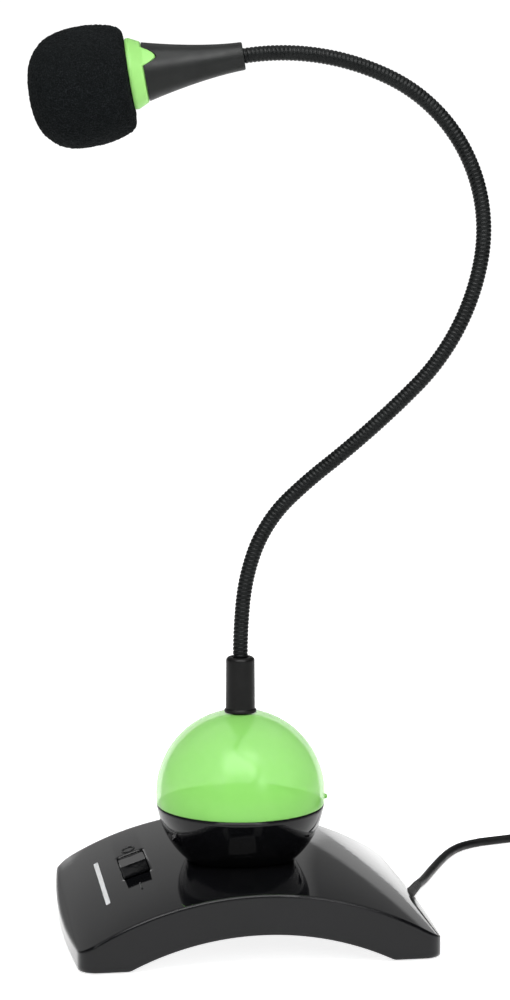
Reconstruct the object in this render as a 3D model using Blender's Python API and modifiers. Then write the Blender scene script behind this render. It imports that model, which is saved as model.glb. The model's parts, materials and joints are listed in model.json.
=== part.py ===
"""Gooseneck desk microphone: an arched base, a ball housing, a flexible neck and a foam-covered head.

Units are metres, +Z is up, the front of the base faces -Y, and the rubber feet stand on z = 0.
"""

import math

import bmesh
import bpy
from mathutils import Matrix, Vector

MM = 0.001
GAP = 0.3 * MM

# Stand: where the ball's axis meets the ground, so that the whole object is centred on the origin.
STAND_X = -7.75 * MM
STAND_Y = -3.0 * MM

# Arched base.
BASE_WIDTH = 147.2 * MM
BASE_DEPTH = 138.0 * MM
BASE_SETBACK = 3.0 * MM
BASE_APEX = 30.1 * MM
BASE_END_HEIGHT = 8.6 * MM
BASE_THICKNESS = 16.5 * MM
BASE_END_BULGE = 3.6 * MM
BASE_CORNER = 7.0 * MM
INNER_CORNER = 1.0 * MM
BASE_EDGE = 0.9 * MM
WALL = 2.5 * MM
COVER_THICKNESS = 2.0 * MM
FOOT_HEIGHT = 0.9 * MM
FOOT_WIDTH = 16.0 * MM
FOOT_DEPTH = 10.0 * MM
FOOT_X = 64.0 * MM
FOOT_CORNER = 2.5 * MM
FOOT_Y = 54.0 * MM
SCREW_X = 62.0 * MM
SCREW_Y = 34.0 * MM
BOSS_RADIUS = 3.2 * MM
BOSS_BORE = 6.5 * MM
SCREW_RADIUS = 1.3 * MM
SCREW_HEAD_RADIUS = 2.4 * MM
SCREW_GRIP = 6.0 * MM

ARCH_RISE = BASE_APEX - BASE_END_HEIGHT
ARCH_RADIUS = (BASE_WIDTH ** 2 / 4 + ARCH_RISE ** 2) / (2 * ARCH_RISE)
ARCH_CENTRE_Z = BASE_APEX - ARCH_RADIUS
UNDER_RADIUS = ARCH_RADIUS - BASE_THICKNESS

# Ballast.
BALLAST_INNER_X = 15.0 * MM
BALLAST_OUTER_X = 54.0 * MM
BALLAST_FRONT_Y = -60.0 * MM
BALLAST_LEFT_BACK_Y = -8.0 * MM
BALLAST_RIGHT_BACK_Y = 0.0 * MM
BALLAST_CLEARANCE = 1.0 * MM

# Rocker switch, in a well that follows the slope of the base.
SWITCH_X = -44.5 * MM
SWITCH_Y = 15.5 * MM
WELL_WIDTH = 12.2 * MM
WELL_LENGTH = 36.4 * MM
WELL_CORNER = 1.6 * MM
ROCKER_WIDTH = 11.4 * MM
ROCKER_AXIS_DEPTH = 4.5 * MM
ROCKER_TILT = math.radians(-10.0)
HOUSING_DEPTH = 7.6 * MM
HOUSING_WALL = 1.2 * MM
TERMINAL_SIZE = (3.0 * MM, 0.8 * MM, 2.2 * MM)
TERMINAL_X = 2.0 * MM
TERMINAL_Y = 6.0 * MM

# Ball.
BALL_RADIUS = 36.0 * MM
BALL_Z = 56.2 * MM
BALL_WALL = 2.2 * MM
BALL_SPLIT = -4.0 * MM
DOME_FLAT = 34.9 * MM
BOWL_FLOOR = -23.3 * MM
BOWL_BOTTOM = -29.0 * MM
DOME_HOLE = 3.4 * MM
PILLAR_RADIUS = 4.0 * MM
PILLAR_BORE = 2.2 * MM
PILLAR_REACH = 6.0 * MM
NUT_RADIUS = 6.8 * MM
NUT_THICKNESS = 3.0 * MM

# Collar and gooseneck.  The neck runs through bends of (length, turn): a positive turn leans to the right.
COLLAR_BOTTOM = BALL_Z + DOME_FLAT + GAP
COLLAR_TOP = 115.1 * MM
COLLAR_LIP = 6.8 * MM
COLLAR_TAIL = 5.2 * MM
NECK_RADIUS = 3.2 * MM
NECK_BORE = 3.55 * MM
NECK_WALL = 1.2 * MM
LEAD_RADIUS = 1.0 * MM
NECK_YAW = math.radians(-8.4)
NECK_BENDS = (
    (23.0, 5.5),
    (20.0, 12.5),
    (30.0, 28.0),
    (20.0, 5.5),
    (50.0, -7.0),
    (60.0, -35.0),
    (50.0, -40.5),
    (40.0, -33.5),
    (61.5, -34.5),
)
NECK_LENGTH = sum(length for length, turn in NECK_BENDS) * MM
NECK_ROOT = -14.0 * MM
NECK_STATIONS = tuple(station * MM for station in (10.0, 70.0, 130.0, 190.0, 250.0, 315.0))
NECK_JOINT_GAP = 2.2 * MM
NECK_INTO_HEAD = 6.0 * MM

# Head, measured along its own axis from the narrow end of the cone.
CONE_LENGTH = 40.9 * MM
CONE_NARROW = 5.75 * MM
CONE_WIDE = 12.1 * MM
CONE_WALL = 1.6 * MM
RING_TOP = 47.4 * MM
RING_RADIUS = 14.6 * MM
GRILLE_RADIUS = 8.0 * MM
GRILLE_WALL = 0.9 * MM
GRILLE_BOTTOM = 36.9 * MM
GRILLE_TOP = 80.0 * MM
BOOT_BOTTOM = 65.0 * MM
BOOT_TOP = 72.0 * MM
BOOT_RADIUS = 6.8 * MM
CAPSULE_RADIUS = 4.9 * MM
FOAM_BOTTOM = 47.8 * MM

# Cord.
CORD_RADIUS = 2.0 * MM
CORD_EXIT = Vector((78.2, 18.8, 3.9)) * MM
CORD_EXIT_ANGLE = math.radians(65.0)
RELIEF_RADIUS = 2.3 * MM
RELIEF_LENGTH = 13.0 * MM
RELIEF_INSIDE = 6.0 * MM
COIL_CENTRE = Vector((186.0, 88.0, 0.0)) * MM
COIL_INNER = 16.6 * MM
COIL_OUTER = 30.4 * MM
COIL_HEIGHT = 17.0 * MM
COIL_FLOOR = 0.15 * MM
COIL_CHAMFER = 2.0 * MM

COLLECTION = "gooseneck_microphone"


# ---------------------------------------------------------------- helpers

def clear_scene():
    for item in list(bpy.data.objects):
        bpy.data.objects.remove(item, do_unlink=True)


def collection(name):
    made = bpy.data.collections.new(name)
    bpy.context.scene.collection.children.link(made)
    return made


def material(name, colour, roughness, metallic=0.0):
    made = bpy.data.materials.new(name)
    made.use_nodes = True
    shader = made.node_tree.nodes["Principled BSDF"]
    shader.inputs["Base Color"].default_value = (*colour, 1.0)
    shader.inputs["Roughness"].default_value = roughness
    shader.inputs["Metallic"].default_value = metallic
    return made


def finish(item, group, look, smooth_angle=35.0):
    group.objects.link(item)
    item.data.materials.clear()
    item.data.materials.append(look)
    if item.type == "MESH" and smooth_angle:
        item.data.shade_smooth()
        item.data.set_sharp_from_angle(angle=math.radians(smooth_angle))
    return item


def mesh_from(name, build):
    sheet = bmesh.new()
    build(sheet)
    mesh = bpy.data.meshes.new(name)
    sheet.to_mesh(mesh)
    sheet.free()
    return bpy.data.objects.new(name, mesh)


def turned(name, profile, closed, steps):
    """A solid of revolution about local Z; the profile of (radius, height) runs down its outer side."""
    def build(sheet):
        points = [sheet.verts.new((radius, 0.0, height)) for radius, height in profile]
        for first, second in zip(points, points[1:]):
            sheet.edges.new((first, second))
        if closed:
            sheet.edges.new((points[-1], points[0]))

    item = mesh_from(name, build)
    screw = item.modifiers.new("turn", "SCREW")
    screw.axis = "Z"
    screw.steps = steps
    screw.render_steps = steps
    screw.use_merge_vertices = True
    screw.merge_threshold = 0.00001
    return item


def curve_to_mesh(curve_object):
    """Replaces a curve object with a welded mesh object in the same place."""
    scene_root = bpy.context.scene.collection
    scene_root.objects.link(curve_object)
    graph = bpy.context.evaluated_depsgraph_get()
    mesh = bpy.data.meshes.new_from_object(curve_object.evaluated_get(graph))
    sheet = bmesh.new()
    sheet.from_mesh(mesh)
    bmesh.ops.remove_doubles(sheet, verts=sheet.verts, dist=0.000001)
    sheet.to_mesh(mesh)
    sheet.free()
    name = curve_object.name
    matrix = curve_object.matrix_world.copy()
    bpy.data.objects.remove(curve_object, do_unlink=True)
    item = bpy.data.objects.new(name, mesh)
    item.matrix_world = matrix
    return item


def plate(name, outline, thickness):
    """A flat outline in local XY, thickened evenly along local Z, as a mesh."""
    curve = bpy.data.curves.new(name, "CURVE")
    curve.dimensions = "2D"
    curve.fill_mode = "BOTH"
    curve.extrude = thickness / 2
    spline = curve.splines.new("POLY")
    spline.points.add(len(outline) - 1)
    for point, (x, y) in zip(spline.points, outline):
        point.co = (x, y, 0.0, 1.0)
    spline.use_cyclic_u = True
    return curve_to_mesh(bpy.data.objects.new(name, curve))


def wire(name, points, radius, resolution=2, caps=True):
    """A round curve object through the points."""
    curve = bpy.data.curves.new(name, "CURVE")
    curve.dimensions = "3D"
    curve.bevel_depth = radius
    curve.bevel_resolution = resolution
    curve.use_fill_caps = caps
    spline = curve.splines.new("POLY")
    spline.points.add(len(points) - 1)
    for point, place in zip(spline.points, points):
        point.co = (*place, 1.0)
    return bpy.data.objects.new(name, curve)


def boolean(target, tool, operation="DIFFERENCE"):
    cut = target.modifiers.new(operation.lower(), "BOOLEAN")
    cut.operation = operation
    cut.solver = "EXACT"
    cut.object = tool


def as_cutter(item, group):
    group.objects.link(item)
    item.hide_render = True
    item.display_type = "WIRE"
    return item


def stand(x=0.0, y=0.0, z=0.0):
    """A place given from the ball's axis, in world metres."""
    return Vector((STAND_X + x, STAND_Y + y, z))


def base(x=0.0, y=0.0, z=0.0):
    """A place given from the middle of the base, in world metres."""
    return stand(x, BASE_SETBACK + y, z)


def rounded_rectangle(width, depth, radius, steps=4):
    outline = []
    for quarter, (sx, sy) in enumerate(((1, 1), (-1, 1), (-1, -1), (1, -1))):
        for step in range(steps + 1):
            angle = math.pi / 2 * (quarter + step / steps)
            x = sx * (width / 2 - radius) + radius * math.cos(angle)
            y = sy * (depth / 2 - radius) + radius * math.sin(angle)
            outline.append((x, y))
    return outline


def hexagon(radius):
    return [(radius * math.cos(k * math.pi / 3), radius * math.sin(k * math.pi / 3)) for k in range(6)]


def smooth_route(points, spacing):
    """Points at an even spacing along a Catmull-Rom curve through the route's own points."""
    knots = [Vector(point) for point in points]
    knots = [2 * knots[0] - knots[1], *knots, 2 * knots[-1] - knots[-2]]
    dense = []
    for a, b, c, d in zip(knots, knots[1:], knots[2:], knots[3:]):
        for step in range(24):
            t = step / 24
            dense.append(0.5 * (2 * b + (c - a) * t + (2 * a - 5 * b + 4 * c - d) * t * t
                                + (3 * b - a - 3 * c + d) * t ** 3))
    dense.append(knots[-2])
    lengths = [0.0]
    for first, second in zip(dense, dense[1:]):
        lengths.append(lengths[-1] + (second - first).length)
    count = max(2, round(lengths[-1] / spacing))
    route = []
    index = 0
    for step in range(count + 1):
        target = lengths[-1] * step / count
        while index < len(lengths) - 2 and lengths[index + 1] < target:
            index += 1
        share = (target - lengths[index]) / (lengths[index + 1] - lengths[index])
        route.append(dense[index].lerp(dense[index + 1], share))
    return route


# ---------------------------------------------------------------- base

def arch_height(x, radius):
    return ARCH_CENTRE_Z + math.sqrt(radius ** 2 - x ** 2)


def underside(x, lift=0.0):
    return max(FOOT_HEIGHT + lift, arch_height(x, UNDER_RADIUS + lift))


def band(lower, upper, half_width, count=36):
    """The outline between two height functions of x, from -half_width to half_width."""
    across = [half_width * (2 * step / count - 1) for step in range(count + 1)]
    outline = [(x, lower(x)) for x in across]
    outline += [(x, upper(x)) for x in reversed(across)]
    return outline


def end_reach(y, inset):
    """How far the base reaches along X at this y, with its bowed end and rounded corners."""
    half = BASE_DEPTH / 2 - inset
    radius = max(BASE_CORNER - inset, INNER_CORNER)
    reach = BASE_WIDTH / 2 - inset + BASE_END_BULGE * (1 - (2 * y / BASE_DEPTH) ** 2)
    past = max(0.0, abs(y) - (half - radius))
    return reach - radius + math.sqrt(max(0.0, radius ** 2 - past ** 2))


def plan_outline(inset):
    half = BASE_DEPTH / 2 - inset
    radius = max(BASE_CORNER - inset, INNER_CORNER)
    corner = [half - radius + radius * math.sin(step * math.pi / 8) for step in range(5)]
    middle = [(half - radius) * step / 6 for step in range(-5, 6)]
    rows = [-y for y in reversed(corner)] + middle + corner
    outline = [(end_reach(y, inset), y) for y in rows]
    outline += [(-end_reach(y, inset), y) for y in reversed(rows)]
    return outline


def arch_solid(name, lower, upper):
    """The space between two heights, a little wider and deeper than the base, for its plan to trim."""
    item = plate(name, band(lower, upper, BASE_WIDTH / 2 + 6.0 * MM), BASE_DEPTH + 20.0 * MM)
    item.data.transform(Matrix.Rotation(math.pi / 2, 4, "X"))
    item.location = base()
    return item


def plan_solid(name, inset, cutters):
    item = plate(name, plan_outline(inset), BASE_WIDTH)
    item.location = base()
    return as_cutter(item, cutters)


def round_tool(name, radius, start, end, cutters, sides=24):
    """A cylinder cutter between two places."""
    along = end - start

    def build(sheet):
        bmesh.ops.create_cone(sheet, cap_ends=True, segments=sides, radius1=radius, radius2=radius,
                              depth=along.length)

    item = mesh_from(name, build)
    item.rotation_euler = along.to_track_quat("Z", "Y").to_euler()
    item.location = (start + end) / 2
    return as_cutter(item, cutters)


def cord_direction():
    return Vector((math.cos(CORD_EXIT_ANGLE), math.sin(CORD_EXIT_ANGLE), 0.0))


def switch_slope():
    return math.asin(-SWITCH_X / ARCH_RADIUS)


def switch_matrix():
    """The frame of the switch: its origin on the base's surface, local X along the slope, Z outwards."""
    place = stand(SWITCH_X, SWITCH_Y, arch_height(SWITCH_X, ARCH_RADIUS))
    return Matrix.Translation(place) @ Matrix.Rotation(-switch_slope(), 4, "Y")


def well_tool(cutters):
    item = plate("well_tool", rounded_rectangle(WELL_WIDTH, WELL_LENGTH, WELL_CORNER), WELL_WIDTH)
    item.matrix_world = switch_matrix()
    return as_cutter(item, cutters)


def screw_places():
    """Where the four cover screws stand, from the middle of the base."""
    return [(side * SCREW_X, end * SCREW_Y) for side in (-1, 1) for end in (-1, 1)]


def make_base_shell(parts, cutters, gland_tool, looks):
    shell = arch_solid("base_shell", underside, lambda x: arch_height(x, ARCH_RADIUS))
    boolean(shell, plan_solid("shell_plan", 0.0, cutters), "INTERSECT")
    edge = shell.modifiers.new("edge", "BEVEL")
    edge.width = BASE_EDGE
    edge.segments = 2
    edge.limit_method = "ANGLE"
    edge.angle_limit = math.radians(40)
    edge.harden_normals = False

    cavity = arch_solid("cavity_tool", lambda x: -5.0 * MM, lambda x: arch_height(x, ARCH_RADIUS - WALL))
    boolean(cavity, plan_solid("cavity_plan", WALL, cutters), "INTERSECT")
    as_cutter(cavity, cutters)
    boolean(shell, cavity)
    top = arch_height(SCREW_X, ARCH_RADIUS) - 0.8 * WALL
    foot = underside(SCREW_X, COVER_THICKNESS) + GAP
    for number, (x, y) in enumerate(screw_places(), 1):
        boss = round_tool(f"boss_tool_{number}", BOSS_RADIUS, base(x, y, foot), base(x, y, top), cutters, 16)
        boolean(shell, boss, "UNION")
        bore = round_tool(f"bore_tool_{number}", SCREW_RADIUS + GAP, base(x, y, foot - 1.0 * MM),
                          base(x, y, foot + BOSS_BORE), cutters, 12)
        boolean(shell, bore)
    boolean(shell, well_tool(cutters))
    boolean(shell, round_tool("pillar_tool", PILLAR_RADIUS + GAP, stand(z=BASE_APEX - 2 * PILLAR_REACH),
                              stand(z=BASE_APEX + PILLAR_REACH), cutters))
    boolean(shell, gland_tool)
    finish(shell, parts, looks["gloss_black"])


def make_base_cover(parts, cutters, gland_tool, looks):
    cover = arch_solid("base_cover", underside, lambda x: underside(x, COVER_THICKNESS))
    boolean(cover, plan_solid("cover_plan", WALL + GAP, cutters), "INTERSECT")
    for number, (x, y) in enumerate(screw_places(), 1):
        hole = round_tool(f"hole_tool_{number}", SCREW_RADIUS + GAP, base(x, y, 0.0),
                          base(x, y, 3 * COVER_THICKNESS), cutters, 12)
        boolean(cover, hole)
    boolean(cover, gland_tool)
    finish(cover, parts, looks["matte_black"])


def make_feet(parts, looks):
    """Four rubber pads under the flat ends of the base."""
    for side, column in ((-1, "left"), (1, "right")):
        for end, row in ((-1, "front"), (1, "back")):
            name = f"rubber_foot_{row}_{column}"
            pad = plate(name, rounded_rectangle(FOOT_WIDTH, FOOT_DEPTH, FOOT_CORNER), FOOT_HEIGHT - GAP)
            pad.location = base(side * FOOT_X, end * FOOT_Y, (FOOT_HEIGHT - GAP) / 2)
            finish(pad, parts, looks["rubber"])


def make_cover_screws(parts, looks):
    """Pan-head screws that hold the cover against the bosses."""
    head_bottom = 0.1 * MM
    under_head = FOOT_HEIGHT - GAP
    tip = underside(SCREW_X, COVER_THICKNESS) + SCREW_GRIP
    profile = ((0.0, tip), (SCREW_RADIUS, tip - 0.8 * MM), (SCREW_RADIUS, under_head),
               (SCREW_HEAD_RADIUS, under_head), (SCREW_HEAD_RADIUS * 0.8, head_bottom), (0.0, head_bottom))
    for number, (x, y) in enumerate(screw_places(), 1):
        screw = turned(f"cover_screw_{number}", profile, False, 12)
        screw.location = base(x, y)
        finish(screw, parts, looks["steel"])


def make_ballast(parts, looks):
    """Two cast blocks that follow the arch between the cover and the top of the shell."""
    spans = (("ballast_left", -1, BALLAST_LEFT_BACK_Y), ("ballast_right", 1, BALLAST_RIGHT_BACK_Y))
    for name, side, back in spans:
        middle = side * (BALLAST_INNER_X + BALLAST_OUTER_X) / 2
        half = (BALLAST_OUTER_X - BALLAST_INNER_X) / 2
        outline = band(lambda x: underside(middle + x, COVER_THICKNESS + BALLAST_CLEARANCE),
                       lambda x: arch_height(middle + x, ARCH_RADIUS - WALL - BALLAST_CLEARANCE), half, 12)
        block = plate(name, outline, back - BALLAST_FRONT_Y)
        block.data.transform(Matrix.Rotation(math.pi / 2, 4, "X"))
        block.location = stand(middle, (back + BALLAST_FRONT_Y) / 2)
        finish(block, parts, looks["iron"])


# ---------------------------------------------------------------- switch

def make_switch(parts, cutters, looks):
    frame = switch_matrix()
    top = -WALL - 2 * GAP
    width = WELL_WIDTH + 2 * HOUSING_WALL
    length = WELL_LENGTH + 2 * HOUSING_WALL
    housing = plate("rocker_housing", rounded_rectangle(width, length, 1.0 * MM), HOUSING_DEPTH)
    housing.matrix_world = frame @ Matrix.Translation((0.0, 0.0, top - HOUSING_DEPTH / 2))
    pocket = plate("pocket_tool", rounded_rectangle(WELL_WIDTH, WELL_LENGTH, 0.6 * MM), HOUSING_DEPTH)
    pocket.matrix_world = frame @ Matrix.Translation((0.0, 0.0, top - HOUSING_DEPTH / 2 + HOUSING_WALL))
    boolean(housing, as_cutter(pocket, cutters))
    finish(housing, parts, looks["matte_black"])

    side_view = ((-17.0, 5.6), (0.0, 3.6), (17.0, 5.6), (16.8, 1.5), (6.0, -1.6), (-6.0, -1.6), (-16.8, 1.5))
    outline = [(y * MM, z * MM) for y, z in side_view]
    rocker = plate("rocker", outline, ROCKER_WIDTH)
    rocker.data.transform(Matrix.Rotation(math.pi / 2, 4, "Z") @ Matrix.Rotation(math.pi / 2, 4, "X"))
    pivot = frame @ Matrix.Translation((0.0, 0.0, -ROCKER_AXIS_DEPTH))
    rocker.matrix_world = pivot @ Matrix.Rotation(ROCKER_TILT, 4, "X")
    soften = rocker.modifiers.new("edge", "BEVEL")
    soften.width = 0.4 * MM
    soften.segments = 1
    soften.limit_method = "ANGLE"
    soften.angle_limit = math.radians(50)
    finish(rocker, parts, looks["gloss_black"])

    for side, name in ((-1, "switch_terminal_front"), (1, "switch_terminal_back")):
        def build(sheet):
            bmesh.ops.create_cube(sheet, size=1.0, matrix=Matrix.Diagonal((*TERMINAL_SIZE, 1.0)))
        blade = mesh_from(name, build)
        drop = top - HOUSING_DEPTH - GAP - TERMINAL_SIZE[2] / 2
        blade.matrix_world = frame @ Matrix.Translation((TERMINAL_X, side * TERMINAL_Y, drop))
        finish(blade, parts, looks["brass"], 0)


# ---------------------------------------------------------------- ball

def sphere_arc(radius, high, low, count):
    """Points on a circle of this radius from one height down or up to another."""
    start = math.acos(high / radius)
    end = math.acos(low / radius)
    angles = [start + (end - start) * step / count for step in range(count + 1)]
    return [(radius * math.sin(angle), radius * math.cos(angle)) for angle in angles]


def make_ball(parts, cutters, looks):
    inner = BALL_RADIUS - BALL_WALL
    hole = PILLAR_RADIUS + GAP
    dome_rim = BALL_SPLIT + GAP / 2
    dome = sphere_arc(BALL_RADIUS, DOME_FLAT, dome_rim, 9)
    dome += sphere_arc(inner, dome_rim, DOME_FLAT - BALL_WALL, 7)
    dome += [(DOME_HOLE, DOME_FLAT - BALL_WALL), (DOME_HOLE, DOME_FLAT)]
    item = turned("ball_dome", dome, True, 36)
    item.location = stand(z=BALL_Z)
    finish(item, parts, looks["green_clear"])

    bowl_rim = BALL_SPLIT - GAP / 2
    bowl = sphere_arc(BALL_RADIUS, bowl_rim, BOWL_BOTTOM, 6)
    bowl += [(hole, BOWL_BOTTOM), (hole, BOWL_FLOOR)]
    bowl += sphere_arc(inner, BOWL_FLOOR, bowl_rim, 4)
    item = turned("ball_bowl", bowl, True, 36)
    item.location = stand(z=BALL_Z)
    saddle = round_tool("saddle_tool", ARCH_RADIUS + GAP, stand(0.0, -2 * BALL_RADIUS, ARCH_CENTRE_Z),
                        stand(0.0, 2 * BALL_RADIUS, ARCH_CENTRE_Z), cutters, 120)
    boolean(item, saddle)
    finish(item, parts, looks["gloss_black"])


def make_pillar(parts, cutters, looks):
    """A hollow threaded pillar clamps the bowl to the base between two nuts."""
    low = BASE_APEX - WALL - PILLAR_REACH
    high = BALL_Z + BOWL_FLOOR + PILLAR_REACH
    profile = ((PILLAR_RADIUS, high), (PILLAR_RADIUS, low), (PILLAR_BORE, low), (PILLAR_BORE, high))
    pillar = turned("pillar", profile, True, 24)
    pillar.location = stand()
    finish(pillar, parts, looks["steel"])
    places = (("pillar_nut_lower", BASE_APEX - WALL - 2 * GAP - NUT_THICKNESS / 2),
              ("pillar_nut_upper", BALL_Z + BOWL_FLOOR + GAP + NUT_THICKNESS / 2))
    for name, height in places:
        nut = plate(name, hexagon(NUT_RADIUS), NUT_THICKNESS)
        nut.location = stand(z=height)
        tool = round_tool(f"{name}_tool", PILLAR_RADIUS + GAP, stand(z=height - NUT_THICKNESS),
                          stand(z=height + NUT_THICKNESS), cutters)
        boolean(nut, tool)
        finish(nut, parts, looks["steel"])


def make_collar(parts, looks):
    bottom = COLLAR_BOTTOM
    seat = COLLAR_TOP + NECK_ROOT - GAP
    profile = ((5.4 * MM, COLLAR_TOP), (5.95 * MM, COLLAR_TOP - 0.5 * MM), (6.1 * MM, COLLAR_TOP - 1.3 * MM),
               (6.2 * MM, bottom + 1.6 * MM), (COLLAR_LIP, bottom + 1.1 * MM), (COLLAR_LIP, bottom),
               (DOME_HOLE - GAP, bottom), (DOME_HOLE - GAP, bottom - COLLAR_TAIL),
               (1.6 * MM, bottom - COLLAR_TAIL), (1.6 * MM, seat), (NECK_BORE, seat), (NECK_BORE, COLLAR_TOP))
    collar = turned("neck_collar", profile, True, 24)
    collar.location = stand()
    finish(collar, parts, looks["satin_black"])

    top = BALL_Z + DOME_FLAT - BALL_WALL - GAP
    point = top - 7.5 * MM
    step = top - 3.8 * MM
    profile = ((6.2 * MM, top), (6.2 * MM, top - 1.3 * MM), (2.0 * MM, point), (1.3 * MM, point),
               (1.3 * MM, step), (DOME_HOLE, step), (DOME_HOLE, top))
    nut = turned("neck_cone_nut", profile, True, 24)
    nut.location = stand()
    finish(nut, parts, looks["matte_black"])


def make_inner_leads(parts, looks):
    """The audio lead curls through the ball and runs through the base to the switch and the gland."""
    top = BALL_Z + DOME_FLAT - BALL_WALL - 8.6 * MM
    low = BALL_Z + BOWL_FLOOR + 6.6 * MM
    turns = 1.6
    points = []
    for step in range(33):
        share = step / 32
        angle = math.radians(200) - 2 * math.pi * turns * share
        reach = 9.0 * MM * math.sin(math.pi * share) ** 1.2
        height = top + (low - top) * share
        points.append(stand(reach * math.cos(angle), reach * math.sin(angle), height))
    finish(wire("ball_lead", points, 0.9 * MM), parts, looks["rubber"])

    route = ((0.0, 0.0, 20.7), (2.0, 8.0, 19.5), (-10.0, 22.0, 18.9), (-22.0, 20.0, 17.2),
             (-30.0, 12.0, 14.6), (-35.9, 9.5, 12.2))
    points = [stand(*(Vector(place) * MM)) for place in route]
    finish(wire("switch_lead", smooth_route(points, 4.0 * MM), 0.8 * MM), parts, looks["rubber"])

    route = ((-35.9, 21.5, 12.2), (-26.0, 32.0, 15.6), (-8.0, 38.0, 19.5), (20.0, 32.0, 18.2),
             (42.0, 24.0, 12.0), (62.0, 13.0, 6.6), (71.6, 7.6, 4.6))
    points = [stand(*(Vector(place) * MM)) for place in route]
    finish(wire("base_lead", smooth_route(points, 5.0 * MM), 0.8 * MM), parts, looks["rubber"])


# ---------------------------------------------------------------- gooseneck

def neck_state(distance):
    """Where the neck's centreline is, and its lean from upright, this far along from the collar's top.

    The place is in the neck's own plane: X sideways from the collar's axis and Z above the ground.
    """
    place = Vector((0.0, 0.0, COLLAR_TOP))
    lean = 0.0
    if distance <= 0.0:
        return place + Vector((0.0, 0.0, distance)), lean
    left = distance
    for length, turn in NECK_BENDS:
        run = min(left, length * MM)
        radius = length * MM / math.radians(turn)
        after = lean + run / radius
        place += Vector((radius * (math.cos(lean) - math.cos(after)), 0.0,
                         radius * (math.sin(after) - math.sin(lean))))
        lean = after
        left -= run
        if left <= 0.0:
            break
    place += Vector((math.sin(lean), 0.0, math.cos(lean))) * max(0.0, left)
    return place, lean


def neck_world(place):
    """Turns a place in the neck's plane into world metres."""
    return stand() + Matrix.Rotation(NECK_YAW, 3, "Z") @ place


def make_neck(parts, looks):
    """Seven lengths of flexible tube, each with its lead inside, meeting at the six bending places."""
    edges = [NECK_ROOT]
    for station in NECK_STATIONS:
        edges += [station - NECK_JOINT_GAP / 2, station + NECK_JOINT_GAP / 2]
    edges.append(NECK_LENGTH + NECK_INTO_HEAD)
    for number in range(len(NECK_STATIONS) + 1):
        start, end = edges[2 * number], edges[2 * number + 1]
        pivot = stand(z=COLLAR_TOP)
        if number:
            pivot = neck_world(neck_state(NECK_STATIONS[number - 1])[0])
        count = max(2, round((end - start) / (5.0 * MM)))
        points = [neck_world(neck_state(start + (end - start) * step / count)[0]) - pivot
                  for step in range(count + 1)]
        sleeve = curve_to_mesh(wire(f"neck_segment_{number}", points, NECK_RADIUS, 2, False))
        sleeve.location = pivot
        skin = sleeve.modifiers.new("wall", "SOLIDIFY")
        skin.thickness = NECK_WALL
        skin.offset = -1.0
        skin.use_even_offset = True
        finish(sleeve, parts, looks["satin_black"])
        lead = wire(f"neck_lead_{number}", points, LEAD_RADIUS, 1)
        lead.location = pivot
        finish(lead, parts, looks["rubber"])


# ---------------------------------------------------------------- head

def head_matrix():
    """The head's frame: its origin at the neck's end, local Z along the head's axis."""
    place, lean = neck_state(NECK_LENGTH)
    turn = Matrix.Rotation(NECK_YAW, 4, "Z") @ Matrix.Rotation(lean, 4, "Y")
    return Matrix.Translation(neck_world(place)) @ turn


def cone_radius(height):
    return CONE_NARROW + (CONE_WIDE - CONE_NARROW) * (height / CONE_LENGTH) ** 1.6


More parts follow.
